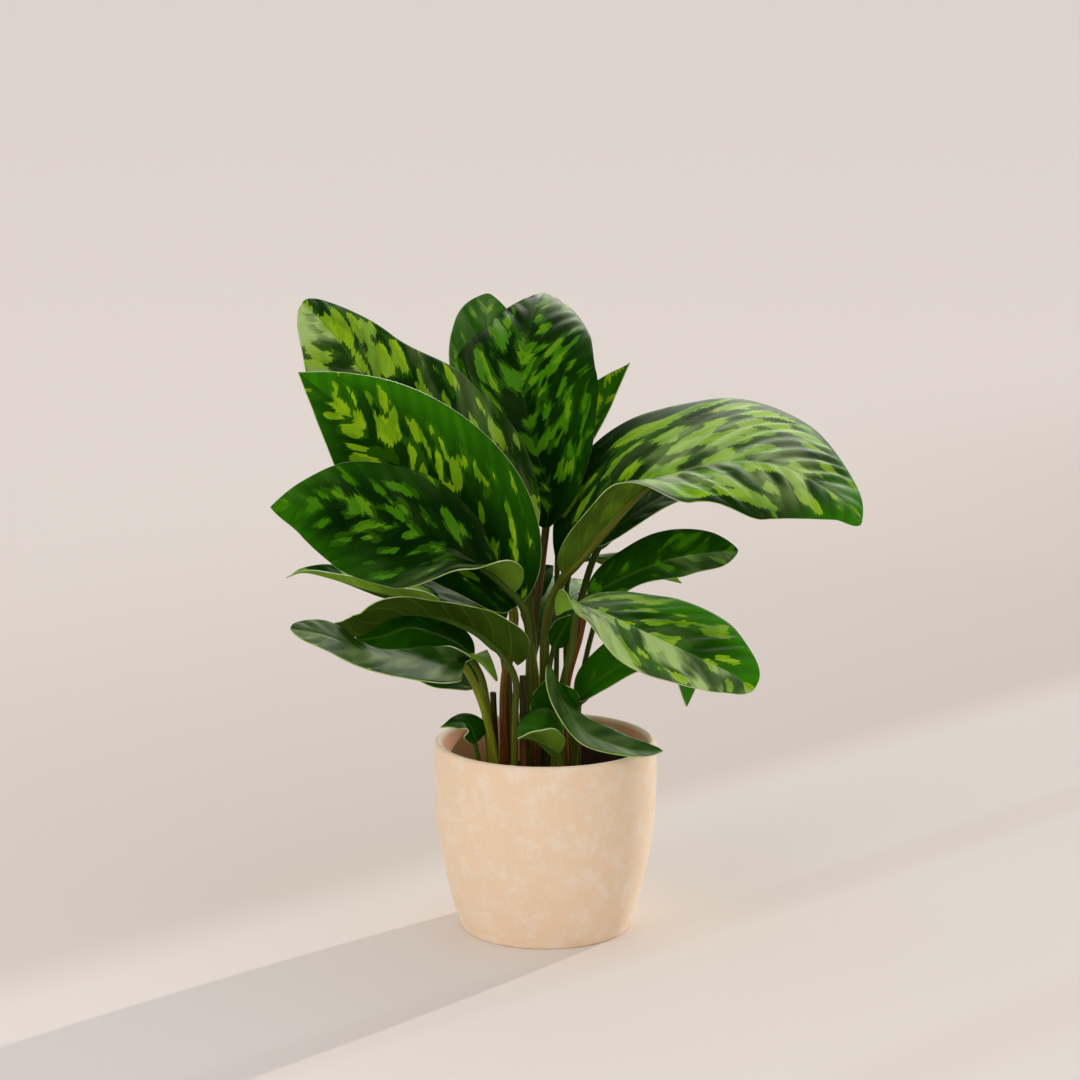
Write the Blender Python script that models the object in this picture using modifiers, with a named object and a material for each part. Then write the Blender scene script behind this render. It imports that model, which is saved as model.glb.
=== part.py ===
"""Potted foliage plant: a flared clay pot, soil, and broad pointed leaves on long stalks.

The origin is the middle of the pot's base, on the surface that it stands on. +Z is up and the
side that faces the viewer is -Y. Named sizes are in millimetres, and MM turns them into metres.
"""
import math

import bmesh
import bpy
import numpy as np
from mathutils import Vector

MM = 0.001
OBJECT_NAME = "potted_homalomena"

# Pot
POT_HEIGHT = 121
RIM_RADIUS = 70
BASE_RADIUS = 53.5
FLARE_TOP = 95
WALL = 5
FLOOR = 7
FLOOR_EDGE = 4
EDGE_ROUND = 1.5
POT_STEPS = 40

# Soil
SOIL_TOP = 90
SOIL_EDGE = 2
GAP = 0.3
ROOT_DEPTH = 8
HOLE_SIDES = 8

# Leaves
RIB_KNOTS = 129
CURVE_STEPS = 24
RIPPLES = 2.5
RIPPLE_SHIFT = 0.35
BLADE_THICKNESS = 0.8
KEEL_END = 0.6
KEEL_TIP_RADIUS = 0.7
KEEL_RISE = 0.2
RUN_STEP = 30
STALK_KNOTS = 400

# Colours
CLAY = (0.80, 0.62, 0.42)
EARTH = (0.035, 0.024, 0.016)
LEAF_GREEN = (0.045, 0.14, 0.02)
BROWN = (0.16, 0.075, 0.03)


class Leaf:
    """One leaf: a stalk from the soil to the blade, and a blade on both sides of its rib.

    root is the stalk's place on the soil, stalk and rib are the points that it passes through,
    and half is the blade's half width. face holds the ways that the upper side looks, spread
    evenly from base to tip. bias, fold and curl hold a value or a row for the left and for the
    right side, seen from the base with the upper side up: bias scales the width, fold is the
    angle in degrees that the side rises by at the rib, and curl is its further turn on the way
    out to the margin. wave is the height of the margin's ripple. widest is where along the rib
    the blade is widest, and a smaller point makes a blunter tip. seat is how far along the rib
    the stalk arrives.
    """

    def __init__(self, name, root, stalk, rib, half, face, widest=0.42, point=1.0, bias=(1, 1),
                 fold=(10, 10), curl=(0, 0), wave=1.0, seat=0.0, radius=2.3, grid=(10, 6)):
        self.name = name
        self.root = root
        self.stalk = stalk
        self.rib = smooth_run(rib, RIB_KNOTS)
        self.half = half
        self.face = face
        self.widest = widest
        self.point = point
        self.bias = bias
        self.fold = fold
        self.curl = curl
        self.wave = wave
        self.seat = seat
        self.radius = radius
        self.grid = grid
        slope = np.gradient(self.rib, axis=0)
        self.tangents = slope / np.linalg.norm(slope, axis=1)[:, None]

    def frame(self, s):
        """Point on the rib at s, with its tangent, its upper normal and its right hand side."""
        knot = s * (len(self.rib) - 1)
        low = min(int(knot), len(self.rib) - 2)
        part = knot - low
        place = self.rib[low] * (1 - part) + self.rib[low + 1] * part
        tangent = unit(self.tangents[low] * (1 - part) + self.tangents[low + 1] * part)
        face = spread(self.face, s)
        normal = unit(face - tangent * np.dot(face, tangent))
        return place, tangent, normal, np.cross(tangent, normal)

    def at(self, s, v):
        """Blade point at s from base to tip and v from -1 at the left margin to 1 at the right."""
        place, tangent, normal, right = self.frame(s)
        side = 1 if v >= 0 else 0
        sign = 1 if v >= 0 else -1
        reach = abs(v)
        width = self.half * outline(s, self.widest, self.point) * spread(self.bias[side], s)
        fold = math.radians(spread(self.fold[side], s))
        curl = math.radians(spread(self.curl[side], s))
        if abs(curl) < 0.001:
            out = reach * math.cos(fold)
            rise = reach * math.sin(fold)
        else:
            out = (math.sin(fold + curl * reach) - math.sin(fold)) / curl
            rise = (math.cos(fold) - math.cos(fold + curl * reach)) / curl
        ripple = self.wave * reach ** 2 * math.sin(
            2 * math.pi * (RIPPLES * s + RIPPLE_SHIFT * side))
        ripple *= min(1.0, 1.5 * width / self.half)
        return place + width * (out * sign * right + rise * normal) + ripple * normal


def unit(vector):
    vector = np.asarray(vector, float)
    return vector / np.linalg.norm(vector)


def smooth_run(points, count):
    """Points spaced evenly along a smooth curve through the given ones."""
    knots = [np.asarray(point, float) for point in points]
    knots = [2 * knots[0] - knots[1]] + knots + [2 * knots[-1] - knots[-2]]
    fine = []
    for before, start, end, after in zip(knots, knots[1:], knots[2:], knots[3:]):
        for t in np.linspace(0, 1, CURVE_STEPS, endpoint=False):
            fine.append(0.5 * (2 * start + (end - before) * t
                               + (2 * before - 5 * start + 4 * end - after) * t ** 2
                               + (3 * start - before - 3 * end + after) * t ** 3))
    fine = np.array(fine + [knots[-2]])
    run = np.concatenate([[0], np.cumsum(np.linalg.norm(np.diff(fine, axis=0), axis=1))])
    marks = np.linspace(0, run[-1], count)
    return np.stack([np.interp(marks, run, fine[:, axis]) for axis in range(3)], 1)


def spread(row, s):
    """Value at s of a row spaced evenly from base to tip, eased between its entries."""
    row = np.asarray(row, float)
    if row.ndim == 0:
        return float(row)
    knot = s * (len(row) - 1)
    low = min(int(knot), len(row) - 2)
    part = knot - low
    eased = part * part * (3 - 2 * part)
    return row[low] * (1 - eased) + row[low + 1] * eased


def outline(s, widest, point):
    """Half width of a leaf at s, as a share of its greatest: an arc, then a run to the tip."""
    if s < widest:
        return math.sqrt(max(0.0, 1 - (1 - s / widest) ** 2))
    return max(0.0, 1 - ((s - widest) / (1 - widest)) ** 2) ** point


LARGE = (14, 6)
SMALL = (8, 4)

LEAVES = [
    Leaf("leaf_top_left", root=(-10, 6), stalk=[(-8, 7, 170), (-11, 6, 212)],
         rib=[(-16, 5, 235), (-35, 5, 257), (-72, 6, 301), (-109, 3, 348), (-129, -2, 376),
              (-148, -7, 398)],
         half=50, widest=0.5, point=0.52, face=((0.4, -0.95, 0.1), (0.4, -0.9, 0.4)),
         bias=((0.9, 0.9, 1, 0.9, 0.8), (1.18, 1.15, 1.04, 0.76, 0.6)),
         fold=((10, 5, 0), (10, 5, -5)), curl=(0, (10, -10, -20)), radius=2.6, grid=LARGE),
    Leaf("leaf_left_facing", root=(-25, -4), stalk=[(-26, -6, 150), (-22, -10, 185)],
         rib=[(-20, -13, 208), (-41, -15, 244), (-71, -18, 279), (-105, -25, 317),
              (-129, -32, 341), (-149, -39, 359)],
         half=53, widest=0.4, point=1.0, face=((0.2, -1, 0.2), (0.3, -0.95, 0.3)),
         bias=(0.85, (0.88, 0.98, 1, 1)), fold=((30, 10, 10), (20, 10, 10)), curl=((30, 0, 0), 20),
         radius=3.3, grid=LARGE),
    Leaf("leaf_left_broad", root=(-14, -18),
         stalk=[(-11, -18, 150), (-10, -21, 185), (-13, -26, 208)],
         rib=[(-19, -30, 222), (-31, -33, 234), (-46, -36, 244), (-62, -39, 254), (-81, -43, 263),
              (-101, -48, 270), (-124, -54, 278), (-146, -59, 282), (-165, -64, 281)],
         half=40, widest=0.5, point=0.85,
         face=((0.1, -0.5, 0.8), (0.2, -1, 0.3), (0.2, -1, 0.3)),
         bias=((0.94, 0.94, 0.98, 1.04, 1.1), (0.1, 0.7, 0.88, 0.92, 0.6)),
         fold=((85, 45, 5, 0, 0), (0, 10, 10, 10, 10)), curl=((20, 10, 0), 0),
         radius=2.6, grid=LARGE),
    Leaf("leaf_left_narrow", root=(-25, 2), stalk=[(-25, 4, 160), (-36, 2, 196)],
         rib=[(-66, -4, 210), (-79, -6, 212), (-103, -10, 217), (-131, -15, 227),
              (-149, -19, 232), (-160, -20, 229)],
         half=22, widest=0.3, point=1.6, face=((0, -0.2, 1), (0, -0.2, 1)),
         bias=(0.45, 1), fold=((60, 60, 70), (20, 10, 40))),
    Leaf("leaf_left_hidden", root=(-22, 14), stalk=[(-24, 14, 160)],
         rib=[(-31, 14, 188), (-45, 28, 202), (-64, 50, 210), (-84, 75, 208)],
         half=24, widest=0.45, face=((0.1, -0.6, 1), (0.1, -0.4, 1))),
    Leaf("leaf_left_folded", root=(-20, -30), stalk=[(-19, -31, 145), (-19, -34, 168)],
         rib=[(-17, -38, 178), (-24, -41, 186), (-32, -44, 194), (-43, -47, 203), (-63, -51, 211),
              (-82, -56, 214), (-96, -59, 211), (-107, -61, 204), (-116, -62, 201),
              (-125, -62, 203), (-133, -62, 208)],
         half=22, widest=0.22, point=0.75, face=((0, -0.2, 1), (0, -0.1, 1)),
         bias=((1.1, 0.9, 0.6, 1.25, 2.4), 0.8),
         fold=((50, 60, 60, 70, 60), (20, 10, 10, 60, 60)), curl=((20, 0, 0), 0), seat=0.12),
    Leaf("leaf_left_sheen", root=(-29, -25), stalk=[(-33, -28, 125), (-41, -36, 158)],
         rib=[(-36, -39, 187), (-49, -44, 183), (-55, -50, 184), (-64, -56, 185), (-87, -72, 190),
              (-110, -84, 198), (-131, -94, 209), (-151, -102, 215)],
         half=26, widest=0.4, point=0.6, face=((0, -0.1, 1), (0, -0.2, 1), (0, -0.6, 1)),
         bias=((0, 0.2, 1.05, 1.05, 1.02, 1, 0.97, 1, 1.05),
               (3, 0.5, 0.4, 0.45, 0.5, 0.65, 0.8, 0.9, 1)),
         fold=((-10, -10, -10, 0, 0), (180, 100, 20, 0, 0, 0, 0, 0, 0)),
         curl=(0, (90, 110, 60, 20, 0, 0, 0, 0, 0)),
         seat=0.13, radius=2.6),
    Leaf("leaf_left_low", root=(-33, -14), stalk=[(-35, -15, 130), (-39, -20, 162)],
         rib=[(-45, -25, 178), (-53, -30, 188), (-65, -37, 196), (-83, -46, 203),
              (-99, -52, 199), (-115, -55, 197)],
         half=22, widest=0.6, point=0.6, face=((0, -1, 0.6), (0, -1, 0.6)),
         bias=((0.65, 0.65, 0.5), (0.9, 0.9, 0.8, 1.05, 1.5)), fold=(0, -25)),
    Leaf("leaf_left_low_back", root=(-34, -6), stalk=[(-37, -5, 130)],
         rib=[(-42, 0, 156), (-60, 4, 165), (-88, 10, 173), (-118, 16, 175)],
         half=20, widest=0.4, face=((0, -0.5, 1), (0, -0.5, 1)), fold=(0, 20)),
    Leaf("leaf_crown_back", root=(-13, 22), stalk=[(-10, 24, 180), (-8, 29, 235)],
         rib=[(-10, 36, 260), (-29, 66, 329), (-37, 86, 367), (-37, 104, 391)],
         half=33, widest=0.6, point=0.8, face=((0.2, -0.8, 0.4), (0.3, -0.5, 0.8))),
    Leaf("leaf_crown", root=(-3, 12), stalk=[(-8, 14, 170), (-3, 17, 225)],
         rib=[(0, 20, 252), (3, 24, 274), (-8, 31, 306), (-15, 39, 345), (-10, 55, 374), (-4, 77, 390),
              (-1, 99, 392)],
         half=48, widest=0.5, point=0.85,
         face=((0, -1, 0.1), (-0.1, -1, 0.6), (0, -0.3, 1)),
         bias=((0.6, 1, 0.97, 0.7, 0.6), (0.3, 0.9, 1, 1, 1)), fold=((15, 15, 0), (15, 15, 0)),
         curl=((0, -20, -40), (0, -20, -40)), radius=2.6, grid=LARGE),
    Leaf("leaf_crown_slim", root=(6, 30), stalk=[(7, 29, 170), (8, 40, 240)],
         rib=[(15, 47, 284), (33, 61, 316), (44, 69, 334), (54, 74, 350)],
         half=14, widest=0.4, point=1.3, face=((-0.4, -0.8, 0.4), (-0.4, -0.8, 0.4)),
         bias=((0.6, 1.5, 1.5), 0.5), fold=(20, 20), wave=0.5, radius=1.8, grid=SMALL),
    Leaf("leaf_right_large", root=(0, -1), stalk=[(-1, -1, 160), (1, 0, 200)],
         rib=[(10, 0, 228), (34, -4, 256), (56, -10, 280), (74, -16, 292), (110, -25, 302),
              (137, -31, 302), (157, -35, 295), (181, -40, 280), (191, -42, 266)],
         half=50, widest=0.45, point=0.6,
         face=((-0.7, -0.5, 0.6), (-0.1, -0.5, 1), (0.5, -0.5, 0.8)),
         bias=((1.42, 1.56, 1.6, 1.52, 1.2), (0.55, 0.5, 0.8, 1.08, 0.75)),
         fold=((5, 5, 0), (80, 75, 15, -5, -5)), curl=((0, -20, -20), (20, -20, -20)),
         radius=3.3, grid=LARGE),
    Leaf("leaf_right_back", root=(11, 14), stalk=[(14, 16, 160), (22, 20, 205)],
         rib=[(32, 25, 240), (56, 30, 260), (86, 40, 275), (120, 52, 283), (150, 62, 283)],
         half=26, widest=0.4, face=((-0.3, -0.4, 1), (0, -0.4, 1)),
         bias=(1, 0.42), fold=(10, -10)),
    Leaf("leaf_right_plain", root=(11, 2), stalk=[(12, 2, 150), (20, 0, 185)],
         rib=[(27, 4, 212), (54, 14, 224), (85, 23, 233), (122, 31, 236)],
         half=19.5, widest=0.6, point=0.75, face=((-0.3, -1, 0.6), (-0.1, -0.9, 0.8)),
         bias=(1, (0.9, 0.55, 0.7, 0.95)),
         fold=(10, (10, 0, 0)), radius=3.1),
    Leaf("leaf_right_front", root=(4, -14), stalk=[(9, -13, 150), (16, -14, 183)],
         rib=[(7, -6, 202), (14, -12, 207), (23, -19, 210), (38, -30, 208), (63, -46, 199), (92, -61, 188),
              (114, -71, 179), (124, -78, 171)],
         half=34, widest=0.6, point=0.5,
         face=((0, -0.2, 1), (-0.1, -0.4, 1), (0, -0.4, 1)),
         bias=((0.8, 0.98, 1, 1.08, 0.75), (0.8, 0.88, 0.88, 0.86, 0.85)),
         fold=((0, 5, 12, 12), (100, 20, -5, -5, 0)), seat=0.12,
         radius=2.4, grid=LARGE),
    Leaf("leaf_right_low", root=(17, -8), stalk=[(19, -8, 125)],
         rib=[(20, -6, 147), (34, -5, 160), (56, -1, 173), (76, 2, 174), (87, 3, 161), (89, 3, 141)],
         half=20, widest=0.45, point=0.9, face=((-0.2, -0.7, 0.8), (0, -0.7, 0.8), (0.8, -0.5, 0.3)),
         bias=(1, (0.5, 0.5, 0.8)), fold=(10, (10, 0, 0))),
    Leaf("leaf_right_underside", root=(20, 12), stalk=[(22, 13, 150)],
         rib=[(32, 20, 198), (50, 28, 211), (68, 35, 217), (87, 41, 213)],
         half=14, widest=0.45, face=((0, -0.2, 1), (0, -0.2, 1)), fold=(10, 60),
         wave=0.5, radius=1.8, grid=SMALL),
    Leaf("leaf_rim_right", root=(9, -21), stalk=[(9, -21, 130), (7, -20, 155), (4, -20, 168)],
         rib=[(2, -27, 175), (6, -34, 164), (10, -37, 155), (17, -39, 144), (27, -42, 135),
              (43, -46, 129), (58, -48, 126), (72, -48, 126)],
         half=15, widest=0.5, point=0.8, face=((0.7, -0.5, 0.3), (0.3, -0.4, 1)),
         bias=((0.3, 0.5, 0.9, 1), 1),
         wave=0.5, radius=1.6, grid=SMALL),
    Leaf("leaf_center_narrow", root=(9, -8), stalk=[(6, -8, 130), (2, -8, 160)],
         rib=[(5, -5, 181), (10, -5, 191), (16, -5, 202)],
         half=8, widest=0.5, face=((0.1, -1, 0), (0.1, -1, 0)),
         wave=0.5, radius=1.6, grid=SMALL),
    Leaf("leaf_rim_front", root=(11, -40), stalk=[(10, -42, 106)],
         rib=[(8, -44, 123), (-2, -48, 130), (-10, -50, 134), (-17, -52, 135)],
         half=18, widest=0.5, point=0.7, face=((0, -0.2, 1), (-0.5, -0.2, 1)),
         bias=(0.9, 1.5), fold=((70, 60, 30), (75, 75, 40)), curl=(0, (-40, -60, -60)),
         wave=0.5, radius=1.8, grid=SMALL),
    Leaf("leaf_rim_left", root=(-38, -24), stalk=[(-41, -26, 110)],
         rib=[(-43, -28, 126), (-48, -31, 138), (-56, -34, 140), (-65, -36, 138)],
         half=9, widest=0.35, face=((0, -0.6, 1), (-0.2, -0.6, 1)), bias=(0.9, (1.5, 0.9, 0.5)),
         wave=0.5, radius=1.6, grid=SMALL),
    Leaf("leaf_back_small", root=(-3, 26), stalk=[(-8, 28, 160)],
         rib=[(-9, 30, 203), (-5, 34, 216), (5, 42, 224)],
         half=9, widest=0.45, face=((0, -0.8, 0.8), (0, -0.8, 0.8)),
         wave=0.5, radius=1.6, grid=SMALL),
    Leaf("leaf_back_wide", root=(-12, 33), stalk=[(-10, 40, 150)],
         rib=[(-4, 48, 180), (8, 62, 193), (24, 84, 199), (40, 108, 196)],
         half=26, widest=0.45, face=((-0.1, -0.6, 1), (-0.1, -0.3, 1))),
    Leaf("leaf_back_edge", root=(15, 26), stalk=[(13, 29, 160), (13, 35, 205)],
         rib=[(17, 45, 227), (26, 56, 227), (42, 74, 222), (62, 98, 208)],
         half=20, widest=0.45, face=((0, 0.2, 1), (0, 0.3, 1)), fold=(4, 4), radius=1.8),
    Leaf("leaf_young", root=(10, -27), stalk=[(10, -28, 120)],
         rib=[(9, -28, 143), (4, -28, 156), (1, -27, 167)],
         half=16, widest=0.35, point=1.1, face=((-0.1, -1, 0.2), (-0.1, -1, 0.2)),
         wave=0.5, radius=1.8, grid=SMALL),
]

# Bare stems: root on the soil, the points above it, and the radii from soil to top
STEMS = {
    "sheath_center": dict(root=(-6, -9), run=[(-6, -10, 150), (-9, -10, 185), (-15, -10, 204)],
                          radii=(3.0, 3.2, 1.0)),
    "stub_left": dict(root=(-31, 6), run=[(-32, 3, 120), (-33, 0, 151)], radii=(2.2, 2.2, 2.0)),
    "stub_center": dict(root=(-13, -26), run=[(-14, -26, 130), (-14, -26, 168)],
                        radii=(2.4, 2.2, 2.2)),
    "stub_front_left": dict(root=(-8, -36), run=[(-9, -36, 112)], radii=(2.4, 2.2, 2.0)),
    "stub_front_right": dict(root=(-2, -36), run=[(-3, -36, 108)], radii=(2.4, 2.2, 2.0)),
}


def clear_scene():
    for obj in list(bpy.data.objects):
        bpy.data.objects.remove(obj)


def new_collection(name, hidden=False):
    collection = bpy.data.collections.new(name)
    collection.hide_render = hidden
    bpy.context.scene.collection.children.link(collection)
    return collection


def new_material(name, colour, roughness):
    material = bpy.data.materials.new(name)
    material.use_nodes = True
    shader = material.node_tree.nodes["Principled BSDF"]
    shader.inputs["Base Color"].default_value = (*colour, 1)
    shader.inputs["Roughness"].default_value = roughness
    shader.inputs["Metallic"].default_value = 0
    return material


def new_object(name, mesh, collection):
    obj = bpy.data.objects.new(name, mesh)
    collection.objects.link(obj)
    return obj


def mark_as_cutter(obj):
    obj.hide_render = True
    obj.display_type = "WIRE"


def apply_modifiers(obj):
    depsgraph = bpy.context.evaluated_depsgraph_get()
    mesh = bpy.data.meshes.new_from_object(obj.evaluated_get(depsgraph))
    obj.modifiers.clear()
    obj.data = mesh


def finish(obj, colour, roughness, sharp_degrees):
    obj.data.materials.clear()
    obj.data.materials.append(new_material(obj.name, colour, roughness))
    obj.data.shade_smooth()
    obj.data.set_sharp_from_angle(angle=math.radians(sharp_degrees))


def outer_radius(height):
    """Pot's outer radius: it flares out of the base and runs straight up below the rim."""
    below = max(0.0, 1 - height / FLARE_TOP)
    return RIM_RADIUS - (RIM_RADIUS - BASE_RADIUS) * below ** 2


def arc(centre, radius, start_degrees, end_degrees, count):
    """Points of an arc in the (radius, height) plane."""
    angles = np.radians(np.linspace(start_degrees, end_degrees, count))
    return [(centre[0] + radius * math.cos(a), centre[1] + radius * math.sin(a)) for a in angles]


def turn(name, profile, collection):
    """Turned solid from a profile of (radius, height) points, from the axis round to the axis."""
    bm = bmesh.new()
    verts = [bm.verts.new((radius * MM, 0, height * MM)) for radius, height in profile]
    for first, second in zip(verts, verts[1:]):
        bm.edges.new((first, second))
    mesh = bpy.data.meshes.new(name)
    bm.to_mesh(mesh)
    bm.free()
    obj = new_object(name, mesh, collection)
    screw = obj.modifiers.new("turn", "SCREW")
    screw.axis = "Z"
    screw.steps = POT_STEPS
    screw.render_steps = POT_STEPS
    screw.use_merge_vertices = True
    screw.merge_threshold = 0.00001
    return obj


def build_pot(collection):
    """Flared pot with a rounded rim: inside from the floor up, over the rim, and down outside."""
    heights_in = (30, 50, 75, 95)
    heights_out = (95, 72, 52, 34, 18)
    lip = WALL / 2
    inside = [(0, FLOOR), (outer_radius(FLOOR) - WALL - FLOOR_EDGE, FLOOR),
              (outer_radius(FLOOR + FLOOR_EDGE) - WALL, FLOOR + FLOOR_EDGE)]
    inside += [(outer_radius(height) - WALL, height) for height in heights_in]
    rim = arc((RIM_RADIUS - lip, POT_HEIGHT - lip), lip, 180, 0, 5)
    outside = [(outer_radius(height), height) for height in heights_out]
    foot = arc((BASE_RADIUS - EDGE_ROUND, EDGE_ROUND), EDGE_ROUND, 0, -90, 3)
    profile = inside + rim + outside + foot + [(0, 0)]
    pot = turn("pot", profile, collection)
    finish(pot, CLAY, 0.8, 40)
    return pot


def build_soil(collection, cutters, holes):
    """Soil filling with a plain upright hole for each stalk."""
    heights = (75, 50, 30)
    edge = SOIL_TOP - SOIL_EDGE
    profile = [(0, SOIL_TOP), (outer_radius(edge) - WALL - GAP - SOIL_EDGE, SOIL_TOP),
               (outer_radius(edge) - WALL - GAP, edge)]
    profile += [(outer_radius(height) - WALL - GAP, height) for height in heights]
    profile += [(outer_radius(FLOOR + FLOOR_EDGE) - WALL - GAP, FLOOR + FLOOR_EDGE + GAP),
                (outer_radius(FLOOR) - WALL - FLOOR_EDGE - GAP, FLOOR + GAP),
                (0, FLOOR + GAP)]
    soil = turn("soil", profile, collection)
    apply_modifiers(soil)
    bottom = SOIL_TOP - ROOT_DEPTH - GAP
    top = SOIL_TOP + ROOT_DEPTH
    for (x, y), radius in holes:
        bm = bmesh.new()
        bmesh.ops.create_cone(bm, cap_ends=True, segments=HOLE_SIDES, radius1=radius * MM,
                              radius2=radius * MM, depth=(top - bottom) * MM)
        bmesh.ops.translate(bm, verts=bm.verts, vec=(x * MM, y * MM, (top + bottom) / 2 * MM))
        mesh = bpy.data.meshes.new("hole")
        bm.to_mesh(mesh)
        bm.free()
        mark_as_cutter(new_object("hole", mesh, cutters))
    cut = soil.modifiers.new("holes", "BOOLEAN")
    cut.operation = "DIFFERENCE"
    cut.operand_type = "COLLECTION"
    cut.collection = cutters
    apply_modifiers(soil)
    for cutter in list(cutters.objects):
        bpy.data.objects.remove(cutter)
    finish(soil, EARTH, 0.95, 30)
    return soil


def tube(name, points, radii, sides, collection):
    """Closed round tube through points, with a radius at each, as a welded mesh."""
    curve = bpy.data.curves.new(name, "CURVE")
    curve.dimensions = "3D"
    curve.bevel_depth = MM
    curve.bevel_resolution = (sides - 4) // 2
    curve.use_fill_caps = True
    spline = curve.splines.new("POLY")
    spline.points.add(len(points) - 1)
    for knot, point, radius in zip(spline.points, points, radii):
        knot.co = (*(Vector(point) * MM), 1)
        knot.radius = radius
    guide = new_object(name + "_curve", curve, collection)
    depsgraph = bpy.context.evaluated_depsgraph_get()
    mesh = bpy.data.meshes.new_from_object(guide.evaluated_get(depsgraph))
    mesh.name = name
    bm = bmesh.new()
    bm.from_mesh(mesh)
    bmesh.ops.remove_doubles(bm, verts=bm.verts, dist=0.00001)
    bmesh.ops.recalc_face_normals(bm, faces=bm.faces)
    bm.to_mesh(mesh)
    bm.free()
    obj = new_object(name, mesh, collection)
    obj.matrix_world = guide.matrix_world
    bpy.data.objects.remove(guide)
    return obj


def stalk_run(leaf):
    """Points and radii of a stalk: straight in the soil, up to the blade, and on under its rib."""
    x, y = leaf.root
    start = (x, y, SOIL_TOP + 1)
    shares = np.linspace(0, 1, 5)
    keel = []
    for share in shares:
        s = leaf.seat + (KEEL_END - leaf.seat) * share
        radius = leaf.radius * (1 - share) + KEEL_TIP_RADIUS * share
        place, _, normal, _ = leaf.frame(s)
        keel.append(place - normal * (radius - KEEL_RISE))
    stalk = [start] + leaf.stalk
    length = sum(np.linalg.norm(np.subtract(b, a)) for a, b in zip(stalk, leaf.stalk + keel[:1]))
    full = smooth_run(stalk + keel, STALK_KNOTS)
    split = int(np.argmin(np.linalg.norm(full - keel[0], axis=1)))
    rise = full[np.linspace(0, split, max(3, round(length / RUN_STEP)) + 1).astype(int)]
    under = full[np.linspace(split, len(full) - 1, len(keel)).astype(int)]
    points = [(x, y, SOIL_TOP - ROOT_DEPTH)] + list(rise) + list(under[1:])
    radii = [leaf.radius] * (1 + len(rise))
    radii += [leaf.radius * (1 - share) + KEEL_TIP_RADIUS * share for share in shares[1:]]
    return points, radii


def build_blade(leaf, collection):
    """Thin blade: a grid moved by the leaf's formula, split into triangles and thickened."""
    rows, columns = leaf.grid
    bm = bmesh.new()
    bmesh.ops.create_grid(bm, x_segments=rows, y_segments=columns, size=0.5)
    for vert in bm.verts:
        even = min(1.0, max(0.0, vert.co.x + 0.5))
        s = 0.4 * even + 0.3 * (1 - math.cos(math.pi * even))
        vert.co = Vector(leaf.at(s, min(1.0, max(-1.0, 2 * vert.co.y)))) * MM
    bmesh.ops.remove_doubles(bm, verts=bm.verts, dist=0.00002)
    bmesh.ops.triangulate(bm, faces=bm.faces)
    mesh = bpy.data.meshes.new(leaf.name)
    bm.to_mesh(mesh)
    bm.free()
    obj = new_object(leaf.name, mesh, collection)
    solidify = obj.modifiers.new("thickness", "SOLIDIFY")
    solidify.thickness = BLADE_THICKNESS * MM
    solidify.offset = 0
    return obj


def build_leaf(leaf, collection, cutters):
    """Blade and stalk, joined into one grown piece."""
    blade = build_blade(leaf, collection)
    points, radii = stalk_run(leaf)
    sides = 8 if leaf.radius > 2.5 else 6
    stalk = tube(leaf.name + "_stalk", points, radii, sides, cutters)
    mark_as_cutter(stalk)
    join = blade.modifiers.new("stalk", "BOOLEAN")
    join.operation = "UNION"
    join.object = stalk
    apply_modifiers(blade)
    bpy.data.objects.remove(stalk)
    finish(blade, LEAF_GREEN, 0.45, 35)
    return blade


def build_stem(name, stem, collection):
    """Bare stem with a straight root and a cut or closed top."""
    x, y = stem["root"]
    run = smooth_run([(x, y, SOIL_TOP + 1)] + stem["run"], 6)
    points = [(x, y, SOIL_TOP - ROOT_DEPTH)] + list(run)
    radii = [spread(stem["radii"], share) for share in np.linspace(0, 1, len(points))]
    obj = tube(name, points, radii, 8, collection)
    finish(obj, BROWN, 0.7, 50)
    return obj


def main():
    clear_scene()
    model = new_collection(OBJECT_NAME)
    cutters = new_collection("cutters", hidden=True)
    build_pot(model)
    holes = [(leaf.root, leaf.radius) for leaf in LEAVES]
    holes += [(stem["root"], stem["radii"][0]) for stem in STEMS.values()]
    widened = [(root, (radius + GAP) / math.cos(math.pi / HOLE_SIDES)) for root, radius in holes]
    build_soil(model, cutters, widened)
    for leaf in LEAVES:
        build_leaf(leaf, model, cutters)
    for name, stem in STEMS.items():
        build_stem(name, stem, model)


main()
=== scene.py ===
"""Potted foliage plant with patterned leaves, dressed for its picture.

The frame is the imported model's: metres, +Z up, the viewer on the -Y side, and the origin in the
middle of the pot's base. Named sizes are in millimetres, and MM turns them into metres.
"""
import math

import bmesh
import bpy
import numpy as np
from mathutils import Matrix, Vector, noise


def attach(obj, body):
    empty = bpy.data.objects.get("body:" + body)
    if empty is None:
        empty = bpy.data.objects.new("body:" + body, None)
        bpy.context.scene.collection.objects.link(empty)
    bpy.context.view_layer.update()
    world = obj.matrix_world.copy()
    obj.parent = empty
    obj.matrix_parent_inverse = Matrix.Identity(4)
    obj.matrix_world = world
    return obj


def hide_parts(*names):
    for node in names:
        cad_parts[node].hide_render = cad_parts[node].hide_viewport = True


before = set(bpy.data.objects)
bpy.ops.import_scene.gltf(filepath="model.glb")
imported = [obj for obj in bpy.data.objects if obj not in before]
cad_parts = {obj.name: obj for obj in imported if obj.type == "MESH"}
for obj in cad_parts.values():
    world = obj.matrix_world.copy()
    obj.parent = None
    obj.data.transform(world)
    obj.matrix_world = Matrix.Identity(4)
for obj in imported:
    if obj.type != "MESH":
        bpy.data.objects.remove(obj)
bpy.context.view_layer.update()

MM = 0.001

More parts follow.
